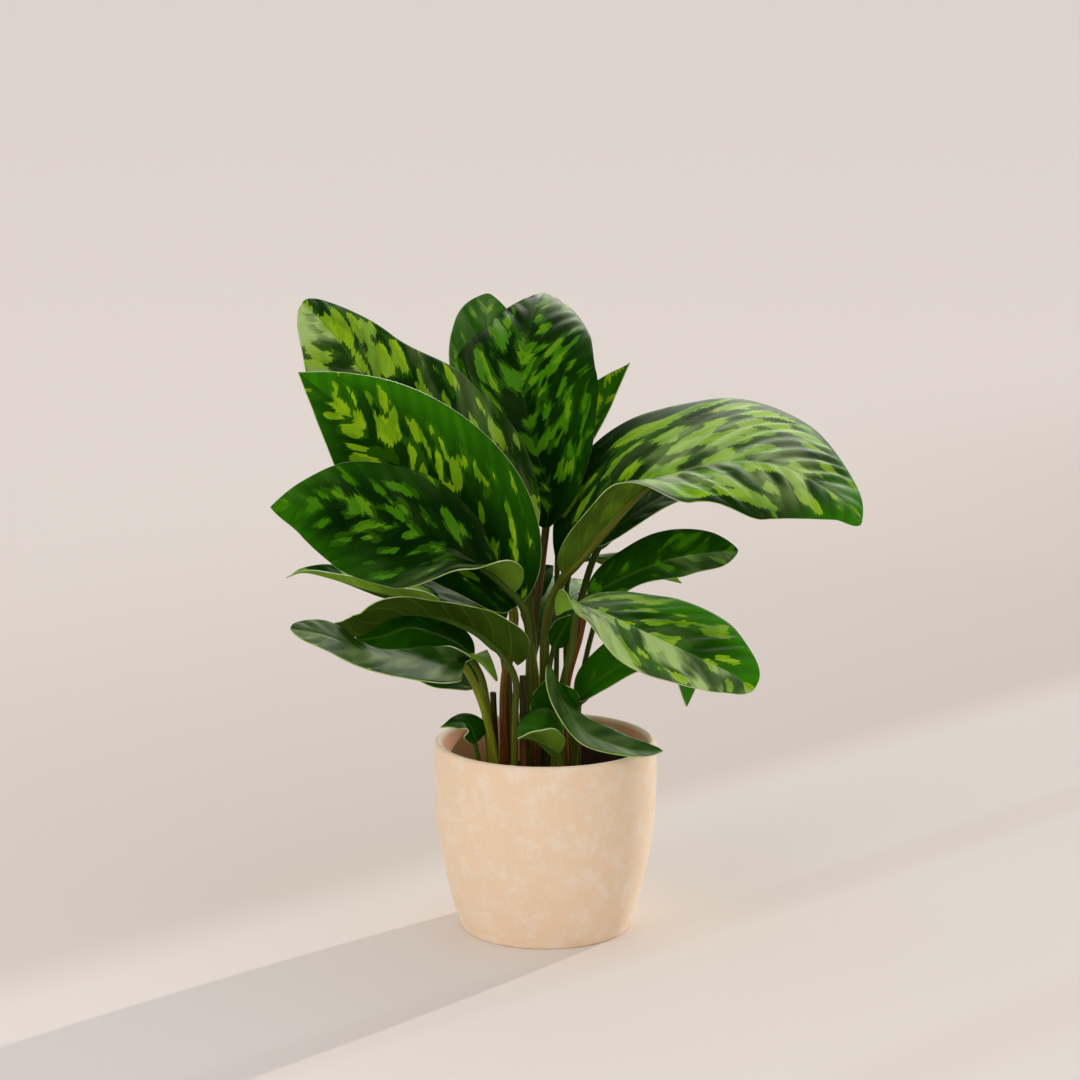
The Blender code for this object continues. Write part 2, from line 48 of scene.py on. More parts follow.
# Pot
POT_HEIGHT = 121
RIM_RADIUS = 70
BASE_RADIUS = 53.5
FLARE_TOP = 95
WALL = 5
FLOOR = 7
FLOOR_EDGE = 4
EDGE_ROUND = 1.5
POT_STEPS = 160
# Darker low inside: fades in from 107 to 103 mm up, and from 30 mm left of the middle to the middle
LOW_DARK_HEIGHTS = (107, 103)
LOW_DARK_SIDE = (-30, 0)

# Soil
SOIL_TOP = 90
SOIL_EDGE = 2
SOIL_STEPS = 144
GAP = 0.3
LUMP_SCALE = 120
LUMP_HEIGHT = 1.6
LUMP_DROP = 0.6
CRUMB_COUNT = 260
CRUMB_SIZE = (0.8, 2.4)
CRUMB_UNEVEN = (0.7, 1.2)
CRUMB_FLATNESS = 0.7
CRUMB_SINK = 0.4
CRUMB_EDGE = 4

# Blades
RIB_KNOTS = 129
CURVE_STEPS = 24
RIPPLES = 2.5
RIPPLE_SHIFT = 0.35
BLADE_THICKNESS = 0.8
EVEN_SHARE = 0.4
EASED_SHARE = 0.3
CROWDING = 1.25
PLEAT_SPACING = 15
PLEAT_SHIFT = 0.4
PLEAT_RISE = (1.5, 9)
PLEAT_MARGIN = (0.8, 1.0)
PLEAT_BASE = (0.04, 0.3)
VEIN_SLOPE = 0.9
VEIN_BEND = 0.45
GROOVE_DEPTH = 0.3
GROOVE_WIDTH = 1.4
CLEAR_INSIDE = 0.2
CLEAR_OUTSIDE = 0.1
GLOW_FADE = (0.3, 0.95)
GLOW_TIP = 0.6
# Painted sheen: how its share changes from the rib out to the margin
PAINTED_SHEEN_FADE = (0.2, 1)

# Blade grids, along the rib and across it
LARGE = (150, 64)
MEDIUM = (96, 36)
SMALL = (48, 22)

# Stalks
ROOT_DEPTH = 6
ROOT_RISE = 1
FOOT_SWELL = 0.35
FOOT_SHARE = 0.35
STALK_KNOTS = 400
STALK_STEPS = 34
STEM_STEPS = 28
STALK_SIDES = 18
CHANNEL = 0.12
KEEL_KNOTS = 5
KEEL_STEPS = 29
KEEL_END = 0.6
KEEL_TIP_RADIUS = 0.7
KEEL_FADE = 0.9
KEEL_THIN = 0.8
KEEL_LEAST = 0.35
KEEL_SINK = 0.1


def unit(vector):
    vector = np.asarray(vector, float)
    return vector / np.linalg.norm(vector)


def travelled(points):
    """How far along a run of points each of them is."""
    return np.concatenate([[0], np.cumsum(np.linalg.norm(np.diff(points, axis=0), axis=1))])


def directions(points):
    """Unit tangents along a run of points."""
    slope = np.gradient(points, axis=0)
    return slope / np.linalg.norm(slope, axis=1)[:, None]


def smooth_run(points, count):
    """Points spaced evenly along a smooth curve through the given ones."""
    knots = [np.asarray(point, float) for point in points]
    knots = [2 * knots[0] - knots[1]] + knots + [2 * knots[-1] - knots[-2]]
    fine = []
    for before, start, end, after in zip(knots, knots[1:], knots[2:], knots[3:]):
        for t in np.linspace(0, 1, CURVE_STEPS, endpoint=False):
            fine.append(0.5 * (2 * start + (end - before) * t
                               + (2 * before - 5 * start + 4 * end - after) * t ** 2
                               + (3 * start - before - 3 * end + after) * t ** 3))
    fine = np.array(fine + [knots[-2]])
    run = travelled(fine)
    marks = np.linspace(0, run[-1], count)
    return np.stack([np.interp(marks, run, fine[:, axis]) for axis in range(3)], 1)


def ease(low, high, value):
    """Smooth step from 0 at low to 1 at high."""
    part = min(1.0, max(0.0, (value - low) / (high - low)))
    return part * part * (3 - 2 * part)


def spread(row, s):
    """Value at s of a row spaced evenly from base to tip, eased between its entries."""
    row = np.asarray(row, float)
    if row.ndim == 0:
        return float(row)
    knot = s * (len(row) - 1)
    low = min(int(knot), len(row) - 2)
    eased = ease(0, 1, knot - low)
    return row[low] * (1 - eased) + row[low + 1] * eased


def outline(s, widest, point):
    """Half width of a leaf at s, as a share of its greatest: an arc, then a run to the tip."""
    if s < widest:
        return math.sqrt(max(0.0, 1 - (1 - s / widest) ** 2))
    return max(0.0, 1 - ((s - widest) / (1 - widest)) ** 2) ** point


class Leaf:
    """One leaf: its stalk, its blade on both sides of the rib, and how its surface looks.

    The form's values are those of the part's own leaves, and mesh is the grid of the blade. cover
    is how much of the upper side the pale patches take, from base to tip, and below 0 it leaves
    none. size is how large they are, and clear the share of the half width at the margin that
    stays without them. bright is how yellow they are, tone how light the ground colour is, and
    pleat the height of the ridges between the side veins. The pale sheen painted into the colour,
    and glow, the lighter green painted where light passes through at the margin, are set for the
    left and the right side, and rim is the painted sheen's share there. midrib is how pale the rib
    is, back the lightness of the underside, and low and high are the stalk's colours at the soil
    and at the blade. rough is the upper side's roughness, and gloss how strongly it reflects.
    """

    def __init__(self, name, root, stalk, rib, half, face, widest=0.42, point=1.0, bias=(1, 1),
                 fold=(10, 10), curl=(0, 0), wave=1.0, seat=0.0, radius=2.3, mesh=MEDIUM,
                 cover=0.15, size=1.0, clear=0.1, bright=0.4, tone=0.3, pleat=0.35, painted_sheen=(0, 0),
                 glow=(0, 0), rim=1.0, midrib=0.3, back=0.4, low="moss", high="green",
                 rough=0.42, gloss=0.07):
        self.name = name
        self.root = root
        self.stalk = stalk
        self.rib = smooth_run(rib, RIB_KNOTS)
        self.half = half
        self.face = face
        self.widest = widest
        self.point = point
        self.bias = bias
        self.fold = fold
        self.curl = curl
        self.wave = wave
        self.seat = seat
        self.radius = radius
        self.mesh = mesh
        self.cover = cover
        self.size = size
        self.clear = clear
        self.bright = bright
        self.tone = tone
        self.pleat = pleat
        self.painted_sheen = painted_sheen
        self.glow = glow
        self.rim = rim
        self.midrib = midrib
        self.back = back
        self.low = low
        self.high = high
        self.rough = rough
        self.gloss = gloss
        self.tangents = directions(self.rib)
        self.bend = VEIN_BEND / (half * np.max([np.max(side) for side in bias]))
        self.length = float(np.sum(np.linalg.norm(np.diff(self.rib, axis=0), axis=1)))

    def frame(self, s):
        """Point on the rib at s, with its tangent, its upper normal and its right hand side."""
        knot = s * (len(self.rib) - 1)
        low = min(int(knot), len(self.rib) - 2)
        part = knot - low
        place = self.rib[low] * (1 - part) + self.rib[low + 1] * part
        tangent = unit(self.tangents[low] * (1 - part) + self.tangents[low + 1] * part)
        face = spread(self.face, s)
        normal = unit(face - tangent * np.dot(face, tangent))
        return place, tangent, normal, np.cross(tangent, normal)

    def row(self, s):
        """Everything that a row of blade points at s shares."""
        place, _, normal, right = self.frame(s)
        sides = []
        for side in (0, 1):
            width = self.half * outline(s, self.widest, self.point) * spread(self.bias[side], s)
            fold = math.radians(spread(self.fold[side], s))
            curl = math.radians(spread(self.curl[side], s))
            ripple = self.wave * math.sin(2 * math.pi * (RIPPLES * s + RIPPLE_SHIFT * side))
            ripple *= min(1.0, 1.5 * width / self.half)
            # Painted light on each side: the painted sheen and the lighter green painted at the
            # margin
            painted_light = (spread(self.painted_sheen[side], s), spread(self.glow[side], s))
            sides.append((width, fold, curl, ripple, painted_light))
        return s, place, normal, right, sides, spread(self.cover, s)

    def point_in_row(self, row, v):
        """Blade point with its vein marks and its habit at v, from -1 left to 1 right."""
        s, place, normal, right, sides, cover = row
        side = 1 if v >= 0 else 0
        sign = 1 if v >= 0 else -1
        width, fold, curl, ripple, (painted_sheen, glow) = sides[side]
        reach = abs(v)
        angle = fold + curl * reach
        if abs(curl) < 0.001:
            out = reach * math.cos(fold)
            rise = reach * math.sin(fold)
        else:
            out = (math.sin(angle) - math.sin(fold)) / curl
            rise = (math.cos(fold) - math.cos(angle)) / curl
        away = reach * width
        vein = s * self.length - VEIN_SLOPE * away - self.bend * away ** 2
        lift = self.pleat_lift(s, reach, away, vein + side * PLEAT_SPACING * PLEAT_SHIFT)
        up = -math.sin(angle) * sign * right + math.cos(angle) * normal
        place = place + width * (out * sign * right + rise * normal)
        place = place + ripple * reach ** 2 * normal + lift * up
        bare = ease(1 - self.clear - CLEAR_INSIDE, 1 - self.clear + CLEAR_OUTSIDE, reach)
        # Painted light: the lighter margin green grows towards margin and tip, the painted sheen by
        # rim
        glow *= ease(*GLOW_FADE, max(reach, (s - GLOW_TIP) / (1 - GLOW_TIP)))
        painted_sheen *= 1 + (self.rim - 1) * ease(*PAINTED_SHEEN_FADE, reach)
        return place, (vein, sign * away, 0), (cover * (1 - bare), painted_sheen, glow)

    def pleat_lift(self, s, reach, away, vein):
        """Height of the pleats, which vary along and across, and of the groove over the rib."""
        lift = self.pleat * math.cos(2 * math.pi * vein / PLEAT_SPACING)
        lift *= 0.7 + 0.4 * math.sin(0.11 * vein + 0.06 * away + self.length)
        lift *= ease(*PLEAT_RISE, away) * (1 - ease(*PLEAT_MARGIN, reach)) * ease(*PLEAT_BASE, s)
        return lift - GROOVE_DEPTH * math.exp(-(away / GROOVE_WIDTH) ** 2)


LEAVES = [
    Leaf("leaf_top_left", root=(-10, 6), stalk=[(-8, 7, 170), (-11, 6, 212)],
         rib=[(-16, 5, 235), (-35, 5, 257), (-72, 6, 301), (-109, 3, 348), (-129, -2, 376),
              (-148, -7, 398)],
         half=50, widest=0.5, point=0.52, face=((0.4, -0.95, 0.1), (0.4, -0.9, 0.4)),
         bias=((0.9, 0.9, 1, 0.9, 0.8), (1.18, 1.15, 1.04, 0.76, 0.6)),
         fold=((10, 5, 0), (10, 5, -5)), curl=(0, (10, -10, -20)), radius=2.6, mesh=LARGE,
         cover=(0.25, 0.45, 0.62, 0.45), size=1.3, clear=0, bright=0.65, tone=0.15, pleat=0.5,
         painted_sheen=((0, 0.4, 1.8), (0.2, 0.15, 0.15)), rim=3, gloss=0.05),
    Leaf("leaf_left_facing", root=(-25, -4), stalk=[(-26, -6, 150), (-22, -10, 185)],
         rib=[(-20, -13, 208), (-41, -15, 244), (-71, -18, 279), (-105, -25, 317),
              (-129, -32, 341), (-149, -39, 359)],
         half=53, widest=0.4, point=1.0, face=((0.2, -1, 0.2), (0.3, -0.95, 0.3)),
         bias=(0.85, (0.88, 0.98, 1, 1)), fold=((30, 10, 10), (20, 10, 10)), curl=((30, 0, 0), 20),
         radius=3.3, mesh=LARGE,
         cover=(0.12, 0.4, 0.55, 0.6, 0.15), clear=0.3, midrib=0, bright=0.55, tone=0.15, pleat=0.2,
         glow=((0, 0, 0.2, 0.6), (0, 0.35, 0.8, 1)), low="russet", high="olive"),
    Leaf("leaf_left_broad", root=(-14, -18),
         stalk=[(-11, -18, 150), (-10, -21, 185), (-13, -26, 208)],
         rib=[(-19, -30, 222), (-31, -33, 234), (-46, -36, 244), (-62, -39, 254), (-81, -43, 263),
              (-101, -48, 270), (-124, -54, 278), (-146, -59, 282), (-165, -64, 281)],
         half=40, widest=0.5, point=0.85,
         face=((0.1, -0.5, 0.8), (0.2, -1, 0.3), (0.2, -1, 0.3)),
         bias=((0.94, 0.94, 0.98, 1.04, 1.1), (0.1, 0.7, 0.88, 0.92, 0.6)),
         fold=((85, 45, 5, 0, 0), (0, 10, 10, 10, 10)), curl=((20, 10, 0), 0),
         radius=2.6, mesh=LARGE,
         cover=(0, 0.3, 0.42, 0.3), clear=0.2, midrib=0, bright=-0.25, tone=0.0, pleat=0.3,
         painted_sheen=((0.1, 0.35, 0.05, 0, 0), 0.04), rim=2,
         glow=((0, 0, 0.3, 0.7), (0, 0, 0.2, 0.7))),
    Leaf("leaf_left_narrow", root=(-25, 2), stalk=[(-25, 4, 160), (-36, 2, 196)],
         rib=[(-66, -4, 210), (-79, -6, 212), (-103, -10, 217), (-131, -15, 227),
              (-149, -19, 232), (-160, -20, 229)],
         half=22, widest=0.3, point=1.6, face=((0, -0.2, 1), (0, -0.2, 1)),
         bias=(0.45, 1), fold=((60, 60, 70), (20, 10, 40)), cover=0.5, clear=0, bright=0.7,
         back=0.6, gloss=0.02),
    Leaf("leaf_left_hidden", root=(-22, 14), stalk=[(-24, 14, 160)],
         rib=[(-31, 14, 188), (-45, 28, 202), (-64, 50, 210), (-84, 75, 208)],
         half=24, widest=0.45, face=((0.1, -0.6, 1), (0.1, -0.4, 1)), cover=0, tone=0.1,
         gloss=0.02),
    Leaf("leaf_left_folded", root=(-20, -30), stalk=[(-19, -31, 145), (-19, -34, 168)],
         rib=[(-17, -38, 178), (-24, -41, 186), (-32, -44, 194), (-43, -47, 203), (-63, -51, 211),
              (-82, -56, 214), (-96, -59, 211), (-107, -61, 204), (-116, -62, 201),
              (-125, -62, 203), (-133, -62, 208)],
         half=22, widest=0.22, point=0.75, face=((0, -0.2, 1), (0, -0.1, 1)),
         bias=((1.1, 0.9, 0.6, 1.25, 2.4), 0.8),
         fold=((50, 60, 60, 70, 60), (20, 10, 10, 60, 60)), curl=((20, 0, 0), 0), seat=0.12,
         cover=-0.5, back=0, rough=0.6),
    Leaf("leaf_left_sheen", root=(-29, -25), stalk=[(-33, -28, 125), (-41, -36, 158)],
         rib=[(-36, -39, 187), (-49, -44, 183), (-55, -50, 184), (-64, -56, 185), (-87, -72, 190),
              (-110, -84, 198), (-131, -94, 209), (-151, -102, 215)],
         half=26, widest=0.4, point=0.6, face=((0, -0.1, 1), (0, -0.2, 1), (0, -0.6, 1)),
         bias=((0, 0.2, 1.05, 1.05, 1.02, 1, 0.97, 1, 1.05),
               (3, 0.5, 0.4, 0.45, 0.5, 0.65, 0.8, 0.9, 1)),
         fold=((-10, -10, -10, 0, 0), (180, 100, 20, 0, 0, 0, 0, 0, 0)),
         curl=(0, (90, 110, 60, 20, 0, 0, 0, 0, 0)),
         seat=0.13, radius=2.6, cover=-0.5, tone=0.25, painted_sheen=(0.7, 0.5), low="olive",
         high="olive"),
    Leaf("leaf_left_low", root=(-33, -14), stalk=[(-35, -15, 130), (-39, -20, 162)],
         rib=[(-45, -25, 178), (-53, -30, 188), (-65, -37, 196), (-83, -46, 203),
              (-99, -52, 199), (-115, -55, 197)],
         half=22, widest=0.6, point=0.6, face=((0, -1, 0.6), (0, -1, 0.6)),
         bias=((0.65, 0.65, 0.5), (0.9, 0.9, 0.8, 1.05, 1.5)), fold=(0, -25), cover=-0.5,
         tone=0.35, low="olive", gloss=0.0),
    Leaf("leaf_left_low_back", root=(-34, -6), stalk=[(-37, -5, 130)],
         rib=[(-42, 0, 156), (-60, 4, 165), (-88, 10, 173), (-118, 16, 175)],
         half=20, widest=0.4, face=((0, -0.5, 1), (0, -0.5, 1)), fold=(0, 20)),
    Leaf("leaf_crown_back", root=(-13, 22), stalk=[(-10, 24, 180), (-8, 29, 235)],
         rib=[(-10, 36, 260), (-29, 66, 329), (-37, 86, 367), (-37, 104, 391)],
         half=33, widest=0.6, point=0.8, face=((0.2, -0.8, 0.4), (0.3, -0.5, 0.8)),
         cover=0.25, bright=0.2, tone=0.75, painted_sheen=(0.3, 0.5)),
    Leaf("leaf_crown", root=(-3, 12), stalk=[(-8, 14, 170), (-3, 17, 225)],
         rib=[(0, 20, 252), (3, 24, 274), (-8, 31, 306), (-15, 39, 345), (-10, 55, 374),
              (-4, 77, 390), (-1, 99, 392)],
         half=48, widest=0.5, point=0.85,
         face=((0, -1, 0.1), (-0.1, -1, 0.6), (0, -0.3, 1)),
         bias=((0.6, 1, 0.97, 0.7, 0.6), (0.3, 0.9, 1, 1, 1)), fold=((15, 15, 0), (15, 15, 0)),
         curl=((0, -20, -40), (0, -20, -40)), radius=2.6, mesh=LARGE,
         cover=(0.15, 0.32, 0.36, 0.32), size=0.85, midrib=0.1, bright=-0.1, tone=0.05, pleat=0.5,
         painted_sheen=((0, 0.05, 0.25), (0, 0, 0.12)), rim=2, glow=(0, (0, 0.2, 0.1, 0)),
         low="tan", high="tan"),
    Leaf("leaf_crown_slim", root=(6, 30), stalk=[(7, 29, 170), (8, 40, 240)],
         rib=[(15, 47, 284), (33, 61, 316), (44, 69, 334), (54, 74, 350)],
         half=14, widest=0.4, point=1.3, face=((-0.4, -0.8, 0.4), (-0.4, -0.8, 0.4)),
         bias=((0.6, 1.5, 1.5), 0.5), fold=(20, 20), wave=0.5, radius=1.8, mesh=SMALL,
         cover=0.4, clear=0, bright=0.9, tone=1.0),
    Leaf("leaf_right_large", root=(0, -1), stalk=[(-1, -1, 160), (1, 0, 200)],
         rib=[(10, 0, 228), (34, -4, 256), (56, -10, 280), (74, -16, 292), (110, -25, 302),
              (137, -31, 302), (157, -35, 295), (181, -40, 280), (191, -42, 266)],
         half=50, widest=0.45, point=0.6,
         face=((-0.7, -0.5, 0.6), (-0.1, -0.5, 1), (0.5, -0.5, 0.8)),
         bias=((1.42, 1.56, 1.6, 1.52, 1.2), (0.55, 0.5, 0.8, 1.08, 0.75)),
         fold=((5, 5, 0), (80, 75, 15, -5, -5)), curl=((0, -20, -20), (20, -20, -20)),
         radius=3.3, mesh=LARGE,
         cover=(0.25, 0.38, 0.52, 0.5, 0.2), size=1.7, clear=0, midrib=0.6, bright=0.4,
         tone=0.08, pleat=1.1,
         painted_sheen=((0, 0.1, 1.2, 0.9, 0), (0, 0.3, 1.4, 1.1, 0)), rim=0.1,
         glow=((0, 0, 0, 0, 1), (0, 0, 0, 0, 1)), back=0.2, high="moss"),
    Leaf("leaf_right_back", root=(11, 14), stalk=[(14, 16, 160), (22, 20, 205)],
         rib=[(32, 25, 240), (56, 30, 260), (86, 40, 275), (120, 52, 283), (150, 62, 283)],
         half=26, widest=0.4, face=((-0.3, -0.4, 1), (0, -0.4, 1)),
         bias=(1, 0.42), fold=(10, -10)),
    Leaf("leaf_right_plain", root=(11, 2), stalk=[(12, 2, 150), (20, 0, 185)],
         rib=[(27, 4, 212), (54, 14, 224), (85, 23, 233), (122, 31, 236)],
         half=19.5, widest=0.6, point=0.75, face=((-0.3, -1, 0.6), (-0.1, -0.9, 0.8)),
         bias=(1, (0.9, 0.55, 0.7, 0.95)),
         fold=(10, (10, 0, 0)), radius=3.1, cover=0.28, size=0.7, bright=-0.4, tone=0.3,
         painted_sheen=(0, (0, 0.3, 0.9, 0.6)), low="russet", high="russet"),
    Leaf("leaf_right_front", root=(4, -14), stalk=[(9, -13, 150), (16, -14, 183)],
         rib=[(7, -6, 202), (14, -12, 207), (23, -19, 210), (38, -30, 208), (63, -46, 199),
              (92, -61, 188), (114, -71, 179), (124, -78, 171)],
         half=34, widest=0.6, point=0.5,
         face=((0, -0.2, 1), (-0.1, -0.4, 1), (0, -0.4, 1)),
         bias=((0.8, 0.98, 1, 1.08, 0.75), (0.8, 0.88, 0.88, 0.86, 0.85)),
         fold=((0, 5, 12, 12), (100, 20, -5, -5, 0)), seat=0.12, radius=2.4, mesh=LARGE,
         cover=(0.35, 0.45, 0.5, 0.35), size=1.4, clear=0, bright=0.6, tone=0.3, pleat=0.6,
         painted_sheen=((0.3, 0.2, 0), (1.2, 2.5, 4)), rim=1.2, glow=((0.3, 1, 1), 0), back=0.9),
    Leaf("leaf_right_low", root=(17, -8), stalk=[(19, -8, 125)],
         rib=[(20, -6, 147), (34, -5, 160), (56, -1, 173), (76, 2, 174), (87, 3, 161),
              (89, 3, 141)],
         half=20, widest=0.45, point=0.9,
         face=((-0.2, -0.7, 0.8), (0, -0.7, 0.8), (0.8, -0.5, 0.3)),
         bias=(1, (0.5, 0.5, 0.8)), fold=(10, (10, 0, 0)), cover=0.2, size=0.8, bright=-0.3,
         tone=0.8, glow=((0.2, 0.3, 1), (0.2, 0.3, 1))),
    Leaf("leaf_right_underside", root=(20, 12), stalk=[(22, 13, 150)],
         rib=[(32, 20, 198), (50, 28, 211), (68, 35, 217), (87, 41, 213)],
         half=14, widest=0.45, face=((0, -0.2, 1), (0, -0.2, 1)), fold=(10, 60),
         wave=0.5, radius=1.8, mesh=SMALL, back=0.7),
    Leaf("leaf_rim_right", root=(9, -21), stalk=[(9, -21, 130), (7, -20, 155), (4, -20, 168)],
         rib=[(2, -27, 175), (6, -34, 164), (10, -37, 155), (17, -39, 144), (27, -42, 135),
              (43, -46, 129), (58, -48, 126), (72, -48, 126)],
         half=15, widest=0.5, point=0.8, face=((0.7, -0.5, 0.3), (0.3, -0.4, 1)),
         bias=((0.3, 0.5, 0.9, 1), 1),
         wave=0.5, radius=1.6, mesh=SMALL, cover=-0.5, painted_sheen=(0.35, 0.35)),
    Leaf("leaf_center_narrow", root=(9, -8), stalk=[(6, -8, 130), (2, -8, 160)],
         rib=[(5, -5, 181), (10, -5, 191), (16, -5, 202)],
         half=8, widest=0.5, face=((0.1, -1, 0), (0.1, -1, 0)),
         wave=0.5, radius=1.6, mesh=SMALL, cover=-0.5),
    Leaf("leaf_rim_front", root=(11, -40), stalk=[(10, -42, 106)],
         rib=[(8, -44, 123), (-2, -48, 130), (-10, -50, 134), (-17, -52, 135)],
         half=18, widest=0.5, point=0.7, face=((0, -0.2, 1), (-0.5, -0.2, 1)),
         bias=(0.9, 1.5), fold=((70, 60, 30), (75, 75, 40)), curl=(0, (-40, -60, -60)),
         wave=0.5, radius=1.8, mesh=SMALL, cover=0, tone=0.6, painted_sheen=(0.5, 0.5), back=0.3),
    Leaf("leaf_rim_left", root=(-38, -24), stalk=[(-41, -26, 110)],
         rib=[(-43, -28, 126), (-48, -31, 138), (-56, -34, 140), (-65, -36, 138)],
         half=9, widest=0.35, face=((0, -0.6, 1), (-0.2, -0.6, 1)), bias=(0.9, (1.5, 0.9, 0.5)),
         wave=0.5, radius=1.6, mesh=SMALL, cover=0),
    Leaf("leaf_back_small", root=(-3, 26), stalk=[(-8, 28, 160)],
         rib=[(-9, 30, 203), (-5, 34, 216), (5, 42, 224)],
         half=9, widest=0.45, face=((0, -0.8, 0.8), (0, -0.8, 0.8)),
         wave=0.5, radius=1.6, mesh=SMALL),
    Leaf("leaf_back_wide", root=(-12, 33), stalk=[(-10, 40, 150)],
         rib=[(-4, 48, 180), (8, 62, 193), (24, 84, 199), (40, 108, 196)],
         half=26, widest=0.45, face=((-0.1, -0.6, 1), (-0.1, -0.3, 1)), tone=0.5),
    Leaf("leaf_back_edge", root=(15, 26), stalk=[(13, 29, 160), (13, 35, 205)],
         rib=[(17, 45, 227), (26, 56, 227), (42, 74, 222), (62, 98, 208)],
         half=20, widest=0.45, face=((0, 0.2, 1), (0, 0.3, 1)), fold=(4, 4), radius=1.8),
    Leaf("leaf_young", root=(10, -27), stalk=[(10, -28, 120)],
         rib=[(9, -28, 143), (4, -28, 156), (1, -27, 167)],
         half=16, widest=0.35, point=1.1, face=((-0.1, -1, 0.2), (-0.1, -1, 0.2)),
         wave=0.5, radius=1.8, mesh=SMALL, cover=-0.5, tone=0.35),
]

# Bare stems: root on the soil, the points above it, the radii from soil to top, and the colours
STEMS = {
    "sheath_center": dict(root=(-6, -9), run=[(-6, -10, 150), (-9, -10, 185), (-15, -10, 204)],
                          radii=(3.0, 3.2, 1.0), low="russet", high="olive"),
    "stub_left": dict(root=(-31, 6), run=[(-32, 3, 120), (-33, 0, 151)], radii=(2.2, 2.2, 2.0),
                      low="russet", high="bark"),
    "stub_center": dict(root=(-13, -26), run=[(-14, -26, 130), (-14, -26, 168)],
                        radii=(2.4, 2.2, 2.2), low="russet", high="bark"),
    "stub_front_left": dict(root=(-8, -36), run=[(-9, -36, 112)], radii=(2.4, 2.2, 2.0),
                            low="olive", high="green"),
    "stub_front_right": dict(root=(-2, -36), run=[(-3, -36, 108)], radii=(2.4, 2.2, 2.0),
                             low="olive", high="green"),
}

# Colours, linear
DARK_GREEN = (0.001, 0.018, 0.0004, 1)
MID_GREEN = (0.028, 0.150, 0.001, 1)
# Painted light: the lighter green where light passes through at the margin
LIT_GREEN = (0.040, 0.230, 0.002, 1)
PATCH_GREEN = (0.050, 0.200, 0.002, 1)
PATCH_LIME = (0.320, 0.540, 0.010, 1)
# Painted sheen: pale colour mixed into the upper side where a broad reflection would be
PAINTED_SHEEN_COLOUR = (0.450, 0.620, 0.210, 1)
RIB_GREEN = (0.080, 0.200, 0.020, 1)
BACK_OLIVE = (0.030, 0.062, 0.004, 1)
BACK_PALE = (0.240, 0.450, 0.040, 1)
LEAF_TINT = (0.600, 1.000, 0.300, 1)
MARGIN_CREAM = (0.520, 0.560, 0.300, 1)
STALK_COLOURS = {
    "green": (0.035, 0.085, 0.006, 1),
    "olive": (0.200, 0.230, 0.012, 1),
    "russet": (0.200, 0.070, 0.016, 1),
    "bark": (0.060, 0.050, 0.010, 1),
    "tan": (0.100, 0.072, 0.018, 1),
    "moss": (0.110, 0.130, 0.010, 1),
}
CLAY = (0.890, 0.675, 0.470, 1)
CLAY_PALE = (0.920, 0.800, 0.680, 1)
# Painted light: the inside's clay is a more orange, brighter copy of CLAY, for warm light inside
# the pot
CLAY_INSIDE_PAINTED_BOUNCE = (1.000, 0.510, 0.250, 1)
SOIL_DARK = (0.020, 0.013, 0.008, 1)
SOIL_LIGHT = (0.110, 0.070, 0.042, 1)
FLOOR_TINT = (0.810, 0.745, 0.700, 1)
FLOOR_SHADE = (0.870, 0.840, 0.825, 1)

# Leaf flesh, the same on both sides of every blade
FLESH = {
    "Specular Tint": LEAF_TINT,
    "Subsurface Weight": 0.15,
    "Subsurface Radius": (0.4, 1.0, 0.15),
    "Subsurface Scale": 0.0015,
}

# Marks, millimetres on the blade and up the stalk
PATCH_SPAN = 12
PATCH_JAG = 5.5
ISLAND_SPAN = 14
ISLAND_RUN = 17
REGION_SPAN = 40
STREAK_SPAN = 60
SPECK_SPAN = 3
STALK_ROUND = 2.2

# Levels between which each mark comes in
PATCH_EDGE = (0.505, 0.525)
FRINGE_EDGE = (0.42, 0.45)
SHADE_EDGE = (0.44, 0.56)
RIB_EDGE = (1.5, 0.5)
VEIN_EDGE = (0.05, 0.01)
RIDGE_EDGE = (0.12, 0.42)
# Cloud levels over which the painted sheen comes in
PAINTED_SHEEN_EDGE = (0.43, 0.62)
CLAY_EDGE = (0.44, 0.68)

# Stage, metres
FLOOR_REACH = 80
CAMERA_PLACE = (-0.0035, -1.832, 0.604)
CAMERA_TILT = 79.02
CAMERA_LENS = 100
CAMERA_WIDTH = 36
SURROUND_COLOUR = (1.0, 0.985, 0.975, 1)
SURROUND_STRENGTH = 0.70
LIGHTS = {
    "sun": dict(kind="SUN", place=(2.0, 2.1, 0.80), target=(0, 0, 0), unseen="visible_glossy",
                energy=1.9, color=(1.0, 0.96, 0.91), angle=0.012),
    "sheen": dict(kind="AREA", place=(0.5, 1.2, 1.5), target=(0, 0, 0.25),
                  unseen="visible_diffuse", energy=80, color=(1.0, 1.0, 0.85), size=1.6),
    "front": dict(kind="AREA", place=(-1.6, -1.8, 1.1), target=(0, 0, 0.2),
                  unseen="visible_glossy", energy=16, color=(1.0, 0.98, 0.96), size=1.2),
}


# Node trees
def join(tree, socket, value):
    """Wires a socket to another one, or sets it to a plain value."""
    if isinstance(value, bpy.types.NodeSocket):
        tree.links.new(value, socket)
    else:
        socket.default_value = value


def fill(tree, node, inputs):
    """Joins a node's inputs, by their names or numbers."""
    for socket, value in inputs.items():
        join(tree, node.inputs[socket], value)


def put(tree, kind, inputs=None, **settings):
    """Adds a node with its settings and inputs."""
    node = tree.nodes.new(kind)
    for key, value in settings.items():
        setattr(node, key, value)
    fill(tree, node, inputs or {})
    return node


def calc(tree, operation, first, second=0.0, third=0.0):
    inputs = {0: first, 1: second, 2: third}
    return put(tree, "ShaderNodeMath", inputs, operation=operation).outputs[0]


def sway(tree, value, share, base):
    """Base, moved up or down by how far a value is from its middle."""
    return calc(tree, "MULTIPLY_ADD", calc(tree, "SUBTRACT", value, 0.5), share, base)


